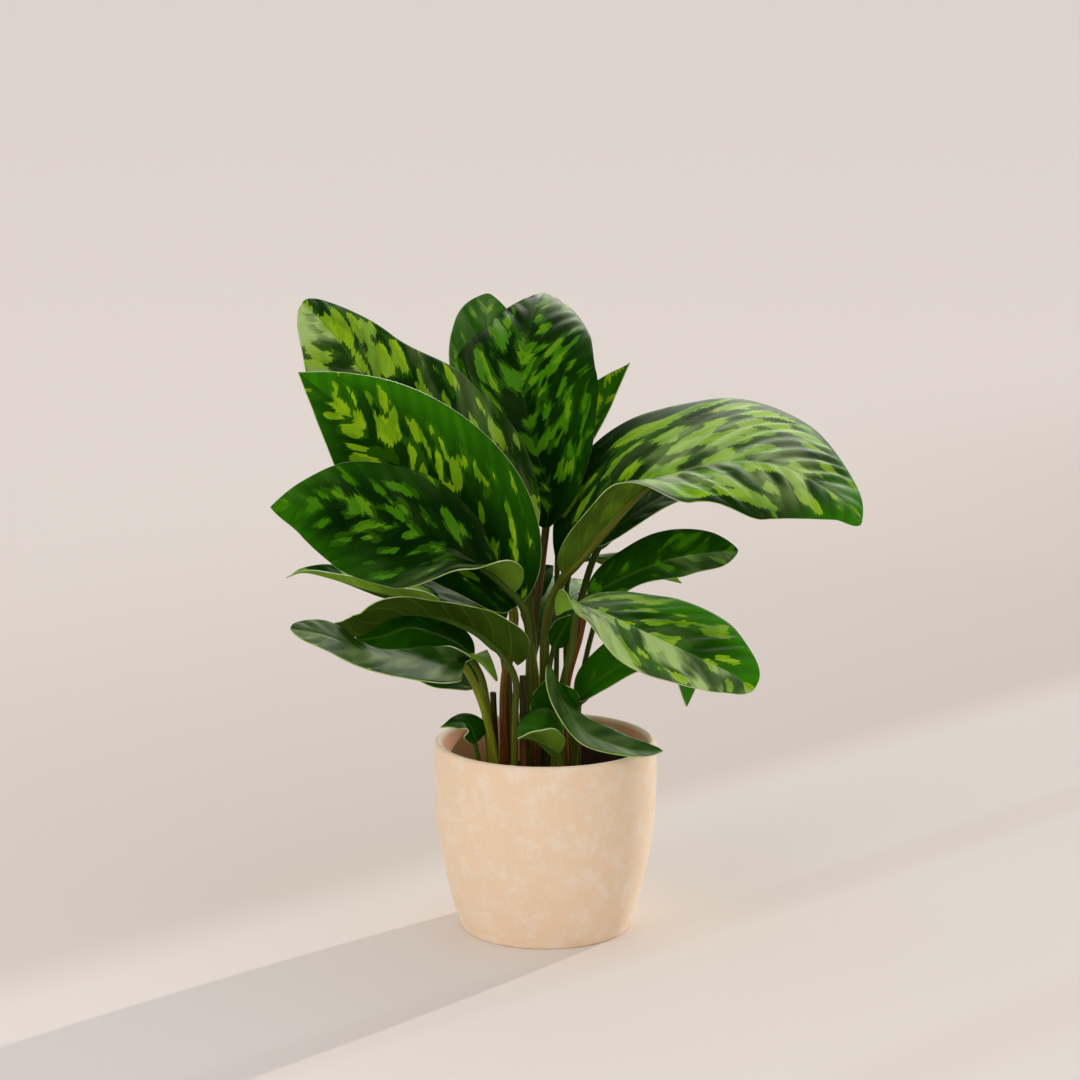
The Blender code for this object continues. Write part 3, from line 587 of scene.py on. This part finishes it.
def ramp(tree, value, low, high, to_low=0.0, to_high=1.0):
    """Smooth step of a value between two levels."""
    inputs = {0: value, 1: low, 2: high, 3: to_low, 4: to_high}
    return put(tree, "ShaderNodeMapRange", inputs, interpolation_type="SMOOTHSTEP").outputs[0]


def parts_of(tree, vector):
    return put(tree, "ShaderNodeSeparateXYZ", {0: vector}).outputs


def vector_of(tree, x, y, z=0.0):
    return put(tree, "ShaderNodeCombineXYZ", {0: x, 1: y, 2: z}).outputs[0]


def blend_colours(tree, share, first, second, blend="MIX"):
    inputs = {0: share, 6: first, 7: second}
    return put(tree, "ShaderNodeMix", inputs, data_type="RGBA", blend_type=blend).outputs[2]


def tint(tree, colour, mask, share, other):
    """Colour with a share of another one where the mask is."""
    return blend_colours(tree, calc(tree, "MULTIPLY", mask, share), colour, other)


def lighten(tree, colour, level):
    """Colour times a level: darker below 1, lighter above."""
    grey = put(tree, "ShaderNodeCombineColor", {0: level, 1: level, 2: level}).outputs[0]
    return blend_colours(tree, 1.0, colour, grey, "MULTIPLY")


def grain(tree, vector=None, scale=1.0, detail=2.0, roughness=0.5, line=None):
    """Noise in space, or along a line where line holds the place on it."""
    inputs = {"Scale": scale, "Detail": detail, "Roughness": roughness}
    if line is not None:
        return put(tree, "ShaderNodeTexNoise", {"W": line, **inputs},
                   noise_dimensions="1D").outputs["Fac"]
    return put(tree, "ShaderNodeTexNoise", {"Vector": vector, **inputs}).outputs["Fac"]


def new_group(name, inputs, outputs):
    """Empty shader group with named sockets, its input node and its output node."""
    group = bpy.data.node_groups.new(name, "ShaderNodeTree")
    for label, kind in inputs:
        group.interface.new_socket(label, in_out="INPUT", socket_type="NodeSocket" + kind)
    for label in outputs:
        group.interface.new_socket(label, in_out="OUTPUT", socket_type="NodeSocketFloat")
    return group, group.nodes.new("NodeGroupInput"), group.nodes.new("NodeGroupOutput")


def make_leaf_marks():
    """Patches, streaks, rib, side veins, ridges and clouds from a place on the blade."""
    tree, given, made = new_group(
        "leaf_marks",
        [("Vein", "Vector"), ("Habit", "Vector"), ("Seed", "Float"), ("Size", "Float")],
        ["Patch", "Fringe", "Shade", "Streak", "Rib", "Side Vein", "Ridge", "Cloud", "Height"])
    along, away, _ = parts_of(tree, given.outputs["Vein"])
    cover = parts_of(tree, given.outputs["Habit"])[0]
    seed = given.outputs["Seed"]
    start = calc(tree, "MULTIPLY_ADD", along, 0.42, calc(tree, "MULTIPLY", seed, 7))
    strip = grain(tree, line=start, detail=1, roughness=0.6)
    jag = calc(tree, "MULTIPLY", calc(tree, "SUBTRACT", strip, 0.5), PATCH_JAG)
    run = calc(tree, "MULTIPLY_ADD", away, 1.25, jag)
    across = calc(tree, "DIVIDE", along, given.outputs["Size"])
    spot = vector_of(tree, calc(tree, "MULTIPLY", across, 1 / PATCH_SPAN),
                     calc(tree, "MULTIPLY", run, 1 / PATCH_SPAN), seed)
    patch = grain(tree, spot, detail=1.5)
    first = calc(tree, "MULTIPLY", seed, 5)
    block = vector_of(tree, calc(tree, "MULTIPLY_ADD", across, 1 / ISLAND_SPAN, first),
                      calc(tree, "MULTIPLY_ADD", run, 1 / ISLAND_RUN, seed))
    island = put(tree, "ShaderNodeTexVoronoi", {"Vector": block, "Scale": 1.0},
                 voronoi_dimensions="2D")
    chance = put(tree, "ShaderNodeSeparateColor", {0: island.outputs["Color"]}).outputs[0]
    area = vector_of(tree, calc(tree, "MULTIPLY", along, 1 / REGION_SPAN),
                     calc(tree, "MULTIPLY", away, 1 / REGION_SPAN), calc(tree, "ADD", seed, 3.7))
    inland = calc(tree, "SUBTRACT", 0.42, island.outputs["Distance"])
    level = sway(tree, grain(tree, area, detail=0), 0.3, patch)
    level = calc(tree, "MULTIPLY_ADD", inland, 0.5, level)
    level = sway(tree, cover, 0.55, level)
    shade = grain(tree, spot, scale=0.8, roughness=0.6)
    fringe = sway(tree, shade, 0.8, level)
    shade = calc(tree, "MULTIPLY_ADD", ramp(tree, shade, *SHADE_EDGE), 0.45,
                 calc(tree, "MULTIPLY", chance, 0.55))
    streak = grain(tree, line=calc(tree, "MULTIPLY_ADD", along, 2.4, seed), roughness=0.6)
    side = calc(tree, "MULTIPLY", calc(tree, "GREATER_THAN", away, 0.0), PLEAT_SHIFT)
    fold = calc(tree, "ADD", calc(tree, "DIVIDE", along, PLEAT_SPACING), side)
    gap = calc(tree, "PINGPONG", calc(tree, "ADD", fold, 0.5), 0.5)
    line = ramp(tree, gap, *VEIN_EDGE)
    fill(tree, made, {
        "Patch": ramp(tree, level, *PATCH_EDGE),
        "Fringe": ramp(tree, fringe, *FRINGE_EDGE),
        "Shade": shade,
        "Streak": ramp(tree, streak, 0.3, 0.7),
        "Rib": ramp(tree, calc(tree, "ABSOLUTE", away), *RIB_EDGE),
        "Side Vein": line,
        "Ridge": ramp(tree, gap, *RIDGE_EDGE),
        "Cloud": grain(tree, area, scale=1.6),
        "Height": calc(tree, "MULTIPLY_ADD", streak, 0.5, calc(tree, "MULTIPLY", line, -0.5)),
    })
    return tree


def make_stalk_marks():
    """Lengthwise streaks, specks and the share of the way up, for stalks."""
    tree, given, made = new_group("stalk_marks", [("Place", "Vector"), ("Seed", "Float")],
                                  ["Streak", "Speck", "Climb"])
    height, turn, climb = parts_of(tree, given.outputs["Place"])
    across = calc(tree, "MULTIPLY", calc(tree, "COSINE", turn), STALK_ROUND)
    over = calc(tree, "MULTIPLY_ADD", calc(tree, "SINE", turn), STALK_ROUND,
                given.outputs["Seed"])
    spot = vector_of(tree, calc(tree, "MULTIPLY", height, 1 / STREAK_SPAN), across, over)
    streak = grain(tree, spot, scale=2, detail=4, roughness=0.65)
    near = vector_of(tree, calc(tree, "MULTIPLY", height, 1 / SPECK_SPAN), across, over)
    fill(tree, made, {
        "Streak": ramp(tree, streak, 0.35, 0.65),
        "Speck": ramp(tree, grain(tree, near, scale=2), 0.6, 0.7),
        "Climb": ramp(tree, sway(tree, streak, 0.8, climb), 0.15, 0.75),
    })
    return tree


LEAF_MARKS = make_leaf_marks()
STALK_MARKS = make_stalk_marks()


# Materials
def new_material(name):
    material = bpy.data.materials.new(name)
    material.use_nodes = True
    tree = material.node_tree
    return material, tree, tree.nodes["Principled BSDF"]


def attribute(tree, name):
    return put(tree, "ShaderNodeAttribute", attribute_name=name).outputs["Vector"]


def object_place(tree):
    return put(tree, "ShaderNodeTexCoord").outputs["Object"]


def pressed(tree, place, scale):
    """Place with its height scaled: marks grow taller below 1 and flatter above."""
    inputs = {"Vector": place, "Scale": (1.0, 1.0, scale)}
    return put(tree, "ShaderNodeMapping", inputs).outputs[0]


def leaf_marks(tree, leaf, seed):
    inputs = {"Vein": attribute(tree, "vein"), "Habit": attribute(tree, "habit"), "Seed": seed,
              "Size": leaf.size}
    return put(tree, "ShaderNodeGroup", inputs, node_tree=LEAF_MARKS).outputs


def bump(tree, shader, height, distance, strength=1.0):
    node = put(tree, "ShaderNodeBump",
               {"Height": height, "Distance": distance * MM, "Strength": strength})
    join(tree, shader.inputs["Normal"], node.outputs["Normal"])


def upper_material(leaf, seed):
    """Upper side: dark green ground, lime patches along the veins, painted sheen, fine streaks."""
    material, tree, shader = new_material(leaf.name + "_upper")
    marks = leaf_marks(tree, leaf, seed)
    _, painted_sheen, glow = parts_of(tree, attribute(tree, "habit"))
    # Painted sheen: pale colour mixed in, more on the ridges, in clouds and over the patches
    painted_sheen_share = calc(tree, "MULTIPLY", painted_sheen, ramp(tree, marks["Ridge"], 0, 1, 0.75, 1.1))
    painted_sheen_share = calc(tree, "MULTIPLY", painted_sheen_share, ramp(tree, marks["Cloud"], *PAINTED_SHEEN_EDGE, 0.1, 1.3))
    painted_sheen_share = calc(tree, "MULTIPLY", painted_sheen_share, ramp(tree, marks["Patch"], 0, 1, 0.6, 1.0))
    tone = calc(tree, "MULTIPLY_ADD", marks["Shade"], 0.16, leaf.tone - 0.08)
    ground = blend_colours(tree, tone, DARK_GREEN, MID_GREEN)
    ground = tint(tree, ground, marks["Fringe"], 0.35, PATCH_GREEN)
    # Painted light: lighter green at the margin and tip, where light would pass through
    lit = calc(tree, "MULTIPLY", glow, ramp(tree, marks["Ridge"], 0, 1, 0.8, 1.0))
    ground = blend_colours(tree, lit, ground, LIT_GREEN)
    lively = calc(tree, "MULTIPLY_ADD", marks["Shade"], 0.9, leaf.bright - 0.4)
    patch = blend_colours(tree, lively, PATCH_GREEN, PATCH_LIME)
    colour = blend_colours(tree, marks["Patch"], ground, patch)
    colour = tint(tree, colour, marks["Rib"], leaf.midrib, RIB_GREEN)
    colour = tint(tree, colour, painted_sheen_share, 0.5, PAINTED_SHEEN_COLOUR)
    fill(tree, shader, {
        **FLESH,
        "Base Color": lighten(tree, colour, ramp(tree, marks["Streak"], 0, 1, 0.78, 1.12)),
        "Roughness": ramp(tree, marks["Streak"], 0, 1, leaf.rough - 0.04, leaf.rough + 0.08),
        "Specular IOR Level": leaf.gloss,
    })
    bump(tree, shader, marks["Height"], 0.12)
    return material


def under_material(leaf, seed):
    """Underside: matt olive with paler veins."""
    material, tree, shader = new_material(leaf.name + "_under")
    marks = leaf_marks(tree, leaf, seed)
    colour = blend_colours(tree, leaf.back, BACK_OLIVE, BACK_PALE)
    colour = tint(tree, colour, marks["Patch"], 0.12, PATCH_LIME)
    colour = tint(tree, colour, marks["Side Vein"], 0.12, BACK_PALE)
    level = calc(tree, "MULTIPLY", ramp(tree, marks["Streak"], 0, 1, 0.88, 1.08),
                 ramp(tree, marks["Cloud"], 0.3, 0.65, 0.7, 1.15))
    fill(tree, shader, {
        **FLESH,
        "Base Color": lighten(tree, colour, level),
        "Roughness": 0.55,
        "Specular IOR Level": 0.04,
    })
    bump(tree, shader, marks["Height"], 0.15)
    return material


def margin_material():
    """Thin pale line round the blade."""
    material, tree, shader = new_material("leaf_margin")
    spot = grain(tree, object_place(tree), scale=90)
    colour = blend_colours(tree, ramp(tree, spot, 0.35, 0.7), MARGIN_CREAM, BACK_PALE)
    fill(tree, shader, {"Base Color": colour, "Roughness": 0.5})
    return material


def stalk_material(name, low, high, seed):
    """Streaked stalk that goes from one colour at the soil to another at the blade."""
    material, tree, shader = new_material(name)
    marks = put(tree, "ShaderNodeGroup", {"Place": attribute(tree, "place"), "Seed": seed},
                node_tree=STALK_MARKS).outputs
    colour = blend_colours(tree, marks["Climb"], STALK_COLOURS[low], STALK_COLOURS[high])
    colour = lighten(tree, colour, ramp(tree, marks["Streak"], 0, 1, 0.6, 1.25))
    fill(tree, shader, {
        "Base Color": tint(tree, colour, marks["Speck"], 0.35, STALK_COLOURS["bark"]),
        "Roughness": ramp(tree, marks["Streak"], 0, 1, 0.35, 0.5),
        "Specular IOR Level": 0.12,
    })
    bump(tree, shader, marks["Streak"], 0.15)
    return material


def clay_material(name, ground, pale, mottle, darken_low=0.0):
    """Unglazed clay: pale clouds, upright brush marks, a fine grain, and, if set, darker low down
    to the right.
    """
    material, tree, shader = new_material(name)
    place = object_place(tree)
    cloud = grain(tree, pressed(tree, place, 1.1), scale=72, detail=8, roughness=0.75)
    brush = grain(tree, pressed(tree, place, 0.06), scale=900, detail=3, roughness=0.6)
    fine = grain(tree, place, scale=1400)
    side, _, height = parts_of(tree, place)
    # Darker low inside towards the right: the colour mixes towards SOIL_DARK below a wavy height
    low = calc(tree, "MULTIPLY_ADD", cloud, -0.006, height)
    low = calc(tree, "MULTIPLY", ramp(tree, low, *(edge * MM for edge in LOW_DARK_HEIGHTS)),
               ramp(tree, side, *(edge * MM for edge in LOW_DARK_SIDE)))
    colour = tint(tree, ground, ramp(tree, cloud, *CLAY_EDGE), mottle, pale)
    colour = tint(tree, colour, low, darken_low, SOIL_DARK)
    fill(tree, shader, {
        "Base Color": lighten(tree, colour, ramp(tree, brush, 0.3, 0.7, 0.985, 1.015)),
        "Roughness": ramp(tree, fine, 0.3, 0.7, 0.78, 0.9),
        "Specular IOR Level": 0.15,
        "Sheen Weight": 0.35,
        "Sheen Roughness": 0.4,
    })
    rise = calc(tree, "MULTIPLY_ADD", brush, 0.6, calc(tree, "MULTIPLY", fine, 0.4))
    bump(tree, shader, rise, 0.25, 0.3)
    return material


def soil_material():
    """Dark crumbly soil."""
    material, tree, shader = new_material("soil_crumbs")
    lump = grain(tree, object_place(tree), scale=260, detail=6, roughness=0.7)
    colour = blend_colours(tree, ramp(tree, lump, 0.45, 0.75), SOIL_DARK, SOIL_LIGHT)
    fill(tree, shader, {"Base Color": colour, "Roughness": 0.95})
    bump(tree, shader, lump, 1.5)
    return material


# Shapes
def to_object(bm, name, materials):
    mesh = bpy.data.meshes.new(name)
    bm.to_mesh(mesh)
    bm.free()
    for material in materials:
        mesh.materials.append(material)
    mesh.shade_smooth()
    obj = bpy.data.objects.new(name, mesh)
    bpy.context.scene.collection.objects.link(obj)
    return obj


def place_piece(obj, node):
    """Puts a finished piece on the body, in a node's stead."""
    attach(obj, "root")
    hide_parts(node)


def build_blade(leaf, seed):
    """Blade: a fine grid moved by the leaf's formula, then given its thickness."""
    rows, columns = leaf.mesh
    bm = bmesh.new()
    vein_layer = bm.verts.layers.float_vector.new("vein")
    habit_layer = bm.verts.layers.float_vector.new("habit")
    bmesh.ops.create_grid(bm, x_segments=rows, y_segments=columns, size=0.5)
    lines = {}
    for vert in bm.verts:
        even = round(min(1.0, max(0.0, vert.co.x + 0.5)), 6)
        if even not in lines:
            eased = 1 - math.cos(math.pi * even)
            lines[even] = leaf.row(EVEN_SHARE * even + EASED_SHARE * eased)
        v = min(1.0, max(-1.0, 2 * vert.co.y))
        v = math.copysign(abs(v) ** CROWDING, v)
        place, vein, habit = leaf.point_in_row(lines[even], v)
        vert.co = Vector(place) * MM
        vert[vein_layer] = vein
        vert[habit_layer] = habit
    bmesh.ops.remove_doubles(bm, verts=bm.verts, dist=0.00002)
    bmesh.ops.reverse_faces(bm, faces=bm.faces)
    obj = to_object(bm, leaf.name + "_blade",
                    [upper_material(leaf, seed), under_material(leaf, seed), MARGIN])
    thick = obj.modifiers.new("thickness", "SOLIDIFY")
    thick.thickness = BLADE_THICKNESS * MM
    thick.offset = 0
    thick.material_offset = 1
    thick.material_offset_rim = 2
    place_piece(obj, leaf.name)


def build_tube(name, points, radii, material, channel=0.0):
    """Closed tube through points: a grid wrapped round them, with a shallow channel on top."""
    points = np.asarray(points, float)
    heights = travelled(points)
    tangents = directions(points)
    side = unit(np.cross(tangents[0], (0, 1, 0)))
    frames = []
    for tangent in tangents:
        side = unit(side - tangent * np.dot(side, tangent))
        frames.append((side, np.cross(tangent, side)))
    bm = bmesh.new()
    layer = bm.verts.layers.float_vector.new("place")
    last = len(points) - 1
    bmesh.ops.create_grid(bm, x_segments=last, y_segments=STALK_SIDES, size=0.5)
    for vert in bm.verts:
        knot = round((vert.co.x + 0.5) * last)
        turn = 2 * math.pi * (vert.co.y + 0.5)
        across, over = frames[knot]
        radius = radii[knot] * (1 - channel * max(0.0, math.cos(turn)) ** 3)
        place = points[knot] + radius * (math.cos(turn) * across + math.sin(turn) * over)
        vert[layer] = (heights[knot], turn, knot / last)
        vert.co = Vector(place) * MM
    bmesh.ops.remove_doubles(bm, verts=bm.verts, dist=0.00001)
    bmesh.ops.holes_fill(bm, edges=bm.edges, sides=STALK_SIDES)
    bmesh.ops.recalc_face_normals(bm, faces=bm.faces)
    return to_object(bm, name, [material])


def build_stalk(leaf, seed):
    """Stalk: widened at the soil, up to the blade, and on under its rib as a thinning keel."""
    x, y = leaf.root
    keel = []
    for share in np.linspace(0, 1, KEEL_KNOTS):
        s = leaf.seat + (KEEL_END - leaf.seat) * share
        radius = leaf.radius * (1 - share) + KEEL_TIP_RADIUS * share
        place, _, normal, _ = leaf.frame(s)
        keel.append(place - normal * radius)
    full = smooth_run([(x, y, SOIL_TOP + ROOT_RISE)] + leaf.stalk + keel, STALK_KNOTS)
    split = int(np.argmin(np.linalg.norm(full - keel[0], axis=1)))
    points = [(x, y, SOIL_TOP - ROOT_DEPTH)]
    points += list(full[np.linspace(0, split, STALK_STEPS).astype(int)])
    radii = []
    for share in np.linspace(0, 1, len(points)):
        radii.append(leaf.radius * (1 + FOOT_SWELL * (1 - ease(0, FOOT_SHARE, share))))
    for share in np.linspace(0, 1, KEEL_STEPS)[1:]:
        s = leaf.seat + (KEEL_FADE - leaf.seat) * share
        radius = leaf.radius * (1 - ease(0, KEEL_THIN, share)) + KEEL_LEAST
        place, _, normal, _ = leaf.frame(s)
        points.append(place - normal * (radius - KEEL_SINK))
        radii.append(radius)
    material = stalk_material(leaf.name + "_stalk", leaf.low, leaf.high, seed)
    obj = build_tube(leaf.name + "_stalk", points, radii, material, CHANNEL)
    place_piece(obj, leaf.name)


def build_stem(name, stem, seed):
    """Bare stem with a cut or closed top."""
    x, y = stem["root"]
    points = [(x, y, SOIL_TOP - ROOT_DEPTH)]
    points += list(smooth_run([(x, y, SOIL_TOP + ROOT_RISE)] + stem["run"], STEM_STEPS))
    radii = [spread(stem["radii"], share) for share in np.linspace(0, 1, len(points))]
    material = stalk_material(name + "_skin", stem["low"], stem["high"], seed)
    place_piece(build_tube(name + "_stem", points, radii, material), name)


def outer_radius(height):
    """Pot's outer radius: it flares out of the base and runs straight up below the rim."""
    below = max(0.0, 1 - height / FLARE_TOP)
    return RIM_RADIUS - (RIM_RADIUS - BASE_RADIUS) * below ** 2


def inner_radius(height):
    return outer_radius(height) - WALL


def arc(centre, radius, start_degrees, end_degrees, count):
    angles = np.radians(np.linspace(start_degrees, end_degrees, count))
    return [(centre[0] + radius * math.cos(a), centre[1] + radius * math.sin(a)) for a in angles]


def spin_profile(profile, steps):
    """Turned shape from a profile of (radius, height) points, from the axis to the axis."""
    bm = bmesh.new()
    verts = [bm.verts.new((radius * MM, 0, height * MM)) for radius, height in profile]
    edges = [bm.edges.new(pair) for pair in zip(verts, verts[1:])]
    bmesh.ops.spin(bm, geom=verts + edges, cent=(0, 0, 0), axis=(0, 0, 1), steps=steps,
                   angle=2 * math.pi, use_merge=True)
    bmesh.ops.remove_doubles(bm, verts=bm.verts, dist=0.00001)
    bmesh.ops.recalc_face_normals(bm, faces=bm.faces)
    return bm


def build_pot():
    """Pot: one turned wall, its inside in a more orange, brighter clay colour as painted warm
    light.
    """
    lip = WALL / 2
    inside = [(0, FLOOR), (20, FLOOR), (inner_radius(FLOOR) - FLOOR_EDGE, FLOOR),
              (inner_radius(FLOOR + FLOOR_EDGE), FLOOR + FLOOR_EDGE)]
    inside += [(inner_radius(height), height) for height in np.linspace(16, 116, 21)]
    rim = arc((RIM_RADIUS - lip, POT_HEIGHT - lip), lip, 180, 0, 11)
    outside = [(outer_radius(height), height) for height in np.linspace(115, 6, 28)]
    foot = arc((BASE_RADIUS - EDGE_ROUND, EDGE_ROUND), EDGE_ROUND, 0, -90, 6)
    bm = spin_profile(inside + rim + outside + foot + [(30, 0), (0, 0)], POT_STEPS)
    for face in bm.faces:
        middle = face.calc_center_median()
        radius = math.hypot(middle.x, middle.y) / MM
        height = middle.z / MM
        within = radius < inner_radius(height) + 0.4 and height > FLOOR - 1
        face.material_index = 1 if within and height < POT_HEIGHT - lip else 0
    # The inside faces take the clay painted more orange and brighter, as painted warm light
    obj = to_object(bm, "pot_clay", [clay_material("clay", CLAY, CLAY_PALE, 0.7),
                                     clay_material("clay_inside_painted_bounce", CLAY_INSIDE_PAINTED_BOUNCE, CLAY, 0.3, 0.95)])
    place_piece(obj, "pot")


def build_soil():
    """Soil with an uneven top, and crumbs on it."""
    edge = SOIL_TOP - SOIL_EDGE
    profile = [(radius, SOIL_TOP) for radius in np.linspace(0, inner_radius(edge) - SOIL_EDGE, 42)]
    profile += [(inner_radius(height) - GAP, height) for height in (edge, 75, 50, 30)]
    profile += [(inner_radius(FLOOR + FLOOR_EDGE) - GAP, FLOOR + FLOOR_EDGE + GAP),
                (inner_radius(FLOOR) - FLOOR_EDGE - GAP, FLOOR + GAP), (0, FLOOR + GAP)]
    bm = spin_profile(profile, SOIL_STEPS)
    for vert in bm.verts:
        if vert.co.z > (SOIL_TOP - 1) * MM:
            lump = noise.fractal(vert.co * LUMP_SCALE, 1.0, 2.0, 4)
            vert.co.z += (LUMP_HEIGHT * lump - LUMP_DROP) * MM
    skin = soil_material()
    place_piece(to_object(bm, "soil_bed", [skin]), "soil")
    chance = np.random.default_rng(7)
    bm = bmesh.new()
    for _ in range(CRUMB_COUNT):
        start = len(bm.verts)
        size = chance.uniform(*CRUMB_SIZE)
        bmesh.ops.create_icosphere(bm, subdivisions=1, radius=size * MM)
        bm.verts.ensure_lookup_table()
        fresh = bm.verts[start:]
        turn = chance.uniform(0, 2 * math.pi)
        reach = (inner_radius(edge) - CRUMB_EDGE) * math.sqrt(chance.uniform(0, 1))
        for vert in fresh:
            vert.co *= chance.uniform(*CRUMB_UNEVEN)
            vert.co.z *= CRUMB_FLATNESS
        middle = Vector((reach * math.cos(turn), reach * math.sin(turn),
                         SOIL_TOP - CRUMB_SINK + 0.2 * size)) * MM
        bmesh.ops.translate(bm, verts=fresh, vec=middle)
    place_piece(to_object(bm, "soil_bits", [skin]), "soil")


# Stage
def build_stage():
    """Pale floor that reaches past the horizon, with painted shade in soft bands, painted lighter
    farther back.
    """
    bm = bmesh.new()
    bmesh.ops.create_grid(bm, x_segments=8, y_segments=8, size=FLOOR_REACH)
    material, tree, shader = new_material("studio_floor")
    spot = parts_of(tree, object_place(tree))
    side = calc(tree, "SUBTRACT", spot[1], spot[0])
    # Painted shade: a soft band across the floor behind the pot, fading farther back, and two thin
    # dark strips nearer the camera
    behind = calc(tree, "MULTIPLY", ramp(tree, side, 0.14, 0.26), ramp(tree, side, 1.9, 0.1))
    painted_strip_shadow = calc(tree, "ABSOLUTE", calc(tree, "ADD", side, 0.10))
    front = calc(tree, "ABSOLUTE", calc(tree, "ADD", side, 0.46))
    painted_strip_shadows = calc(tree, "MAXIMUM", ramp(tree, painted_strip_shadow, 0.045, 0.01, 0.0, 0.3),
                ramp(tree, front, 0.06, 0.01, 0.0, 0.25))
    shade = calc(tree, "MAXIMUM", behind, painted_strip_shadows)
    colour = blend_colours(tree, shade, (1, 1, 1, 1), FLOOR_SHADE)
    # Painted light: the floor is up to 9% lighter farther back, where the lamps light it less
    colour = lighten(tree, colour, ramp(tree, spot[1], 0.2, 3.0, 1.0, 1.09))
    fill(tree, shader, {
        "Base Color": blend_colours(tree, 1.0, colour, FLOOR_TINT, "MULTIPLY"),
        "Roughness": 0.9,
        "Specular IOR Level": 0.1,
    })
    to_object(bm, "studio_floor", [material])


def new_light(name, kind, place, target, unseen, **settings):
    """Light aimed at a target, which one kind of ray doesn't see."""
    data = bpy.data.lights.new(name, kind)
    for key, value in settings.items():
        setattr(data, key, value)
    obj = bpy.data.objects.new(name, data)
    bpy.context.scene.collection.objects.link(obj)
    obj.location = place
    obj.rotation_euler = (Vector(target) - Vector(place)).to_track_quat("-Z", "Y").to_euler()
    setattr(obj, unseen, False)


def build_lights():
    """Low warm sun and a sheen from behind, soft light from the front, and an even surround."""
    for name, settings in LIGHTS.items():
        new_light(name, **settings)
    world = bpy.data.worlds.new("studio")
    world.use_nodes = True
    world.cycles_visibility.glossy = False
    bpy.context.scene.world = world
    surround = world.node_tree.nodes["Background"]
    surround.inputs["Color"].default_value = SURROUND_COLOUR
    surround.inputs["Strength"].default_value = SURROUND_STRENGTH


def build_camera():
    data = bpy.data.cameras.new("camera")
    data.lens = CAMERA_LENS
    data.sensor_width = CAMERA_WIDTH
    camera = bpy.data.objects.new("camera", data)
    camera.location = CAMERA_PLACE
    camera.rotation_euler = (math.radians(CAMERA_TILT), 0, 0)
    bpy.context.scene.collection.objects.link(camera)
    bpy.context.scene.camera = camera


MARGIN = margin_material()
build_pot()
build_soil()
for order, leaf in enumerate(LEAVES):
    build_blade(leaf, 1.7 * order + 0.5)
    build_stalk(leaf, 2.3 * order + 0.4)
for order, (stem_name, stem_values) in enumerate(STEMS.items()):
    build_stem(stem_name, stem_values, 3.1 * order + 0.2)
build_stage()
build_lights()
build_camera()
bpy.context.scene.view_settings.view_transform = "Standard"
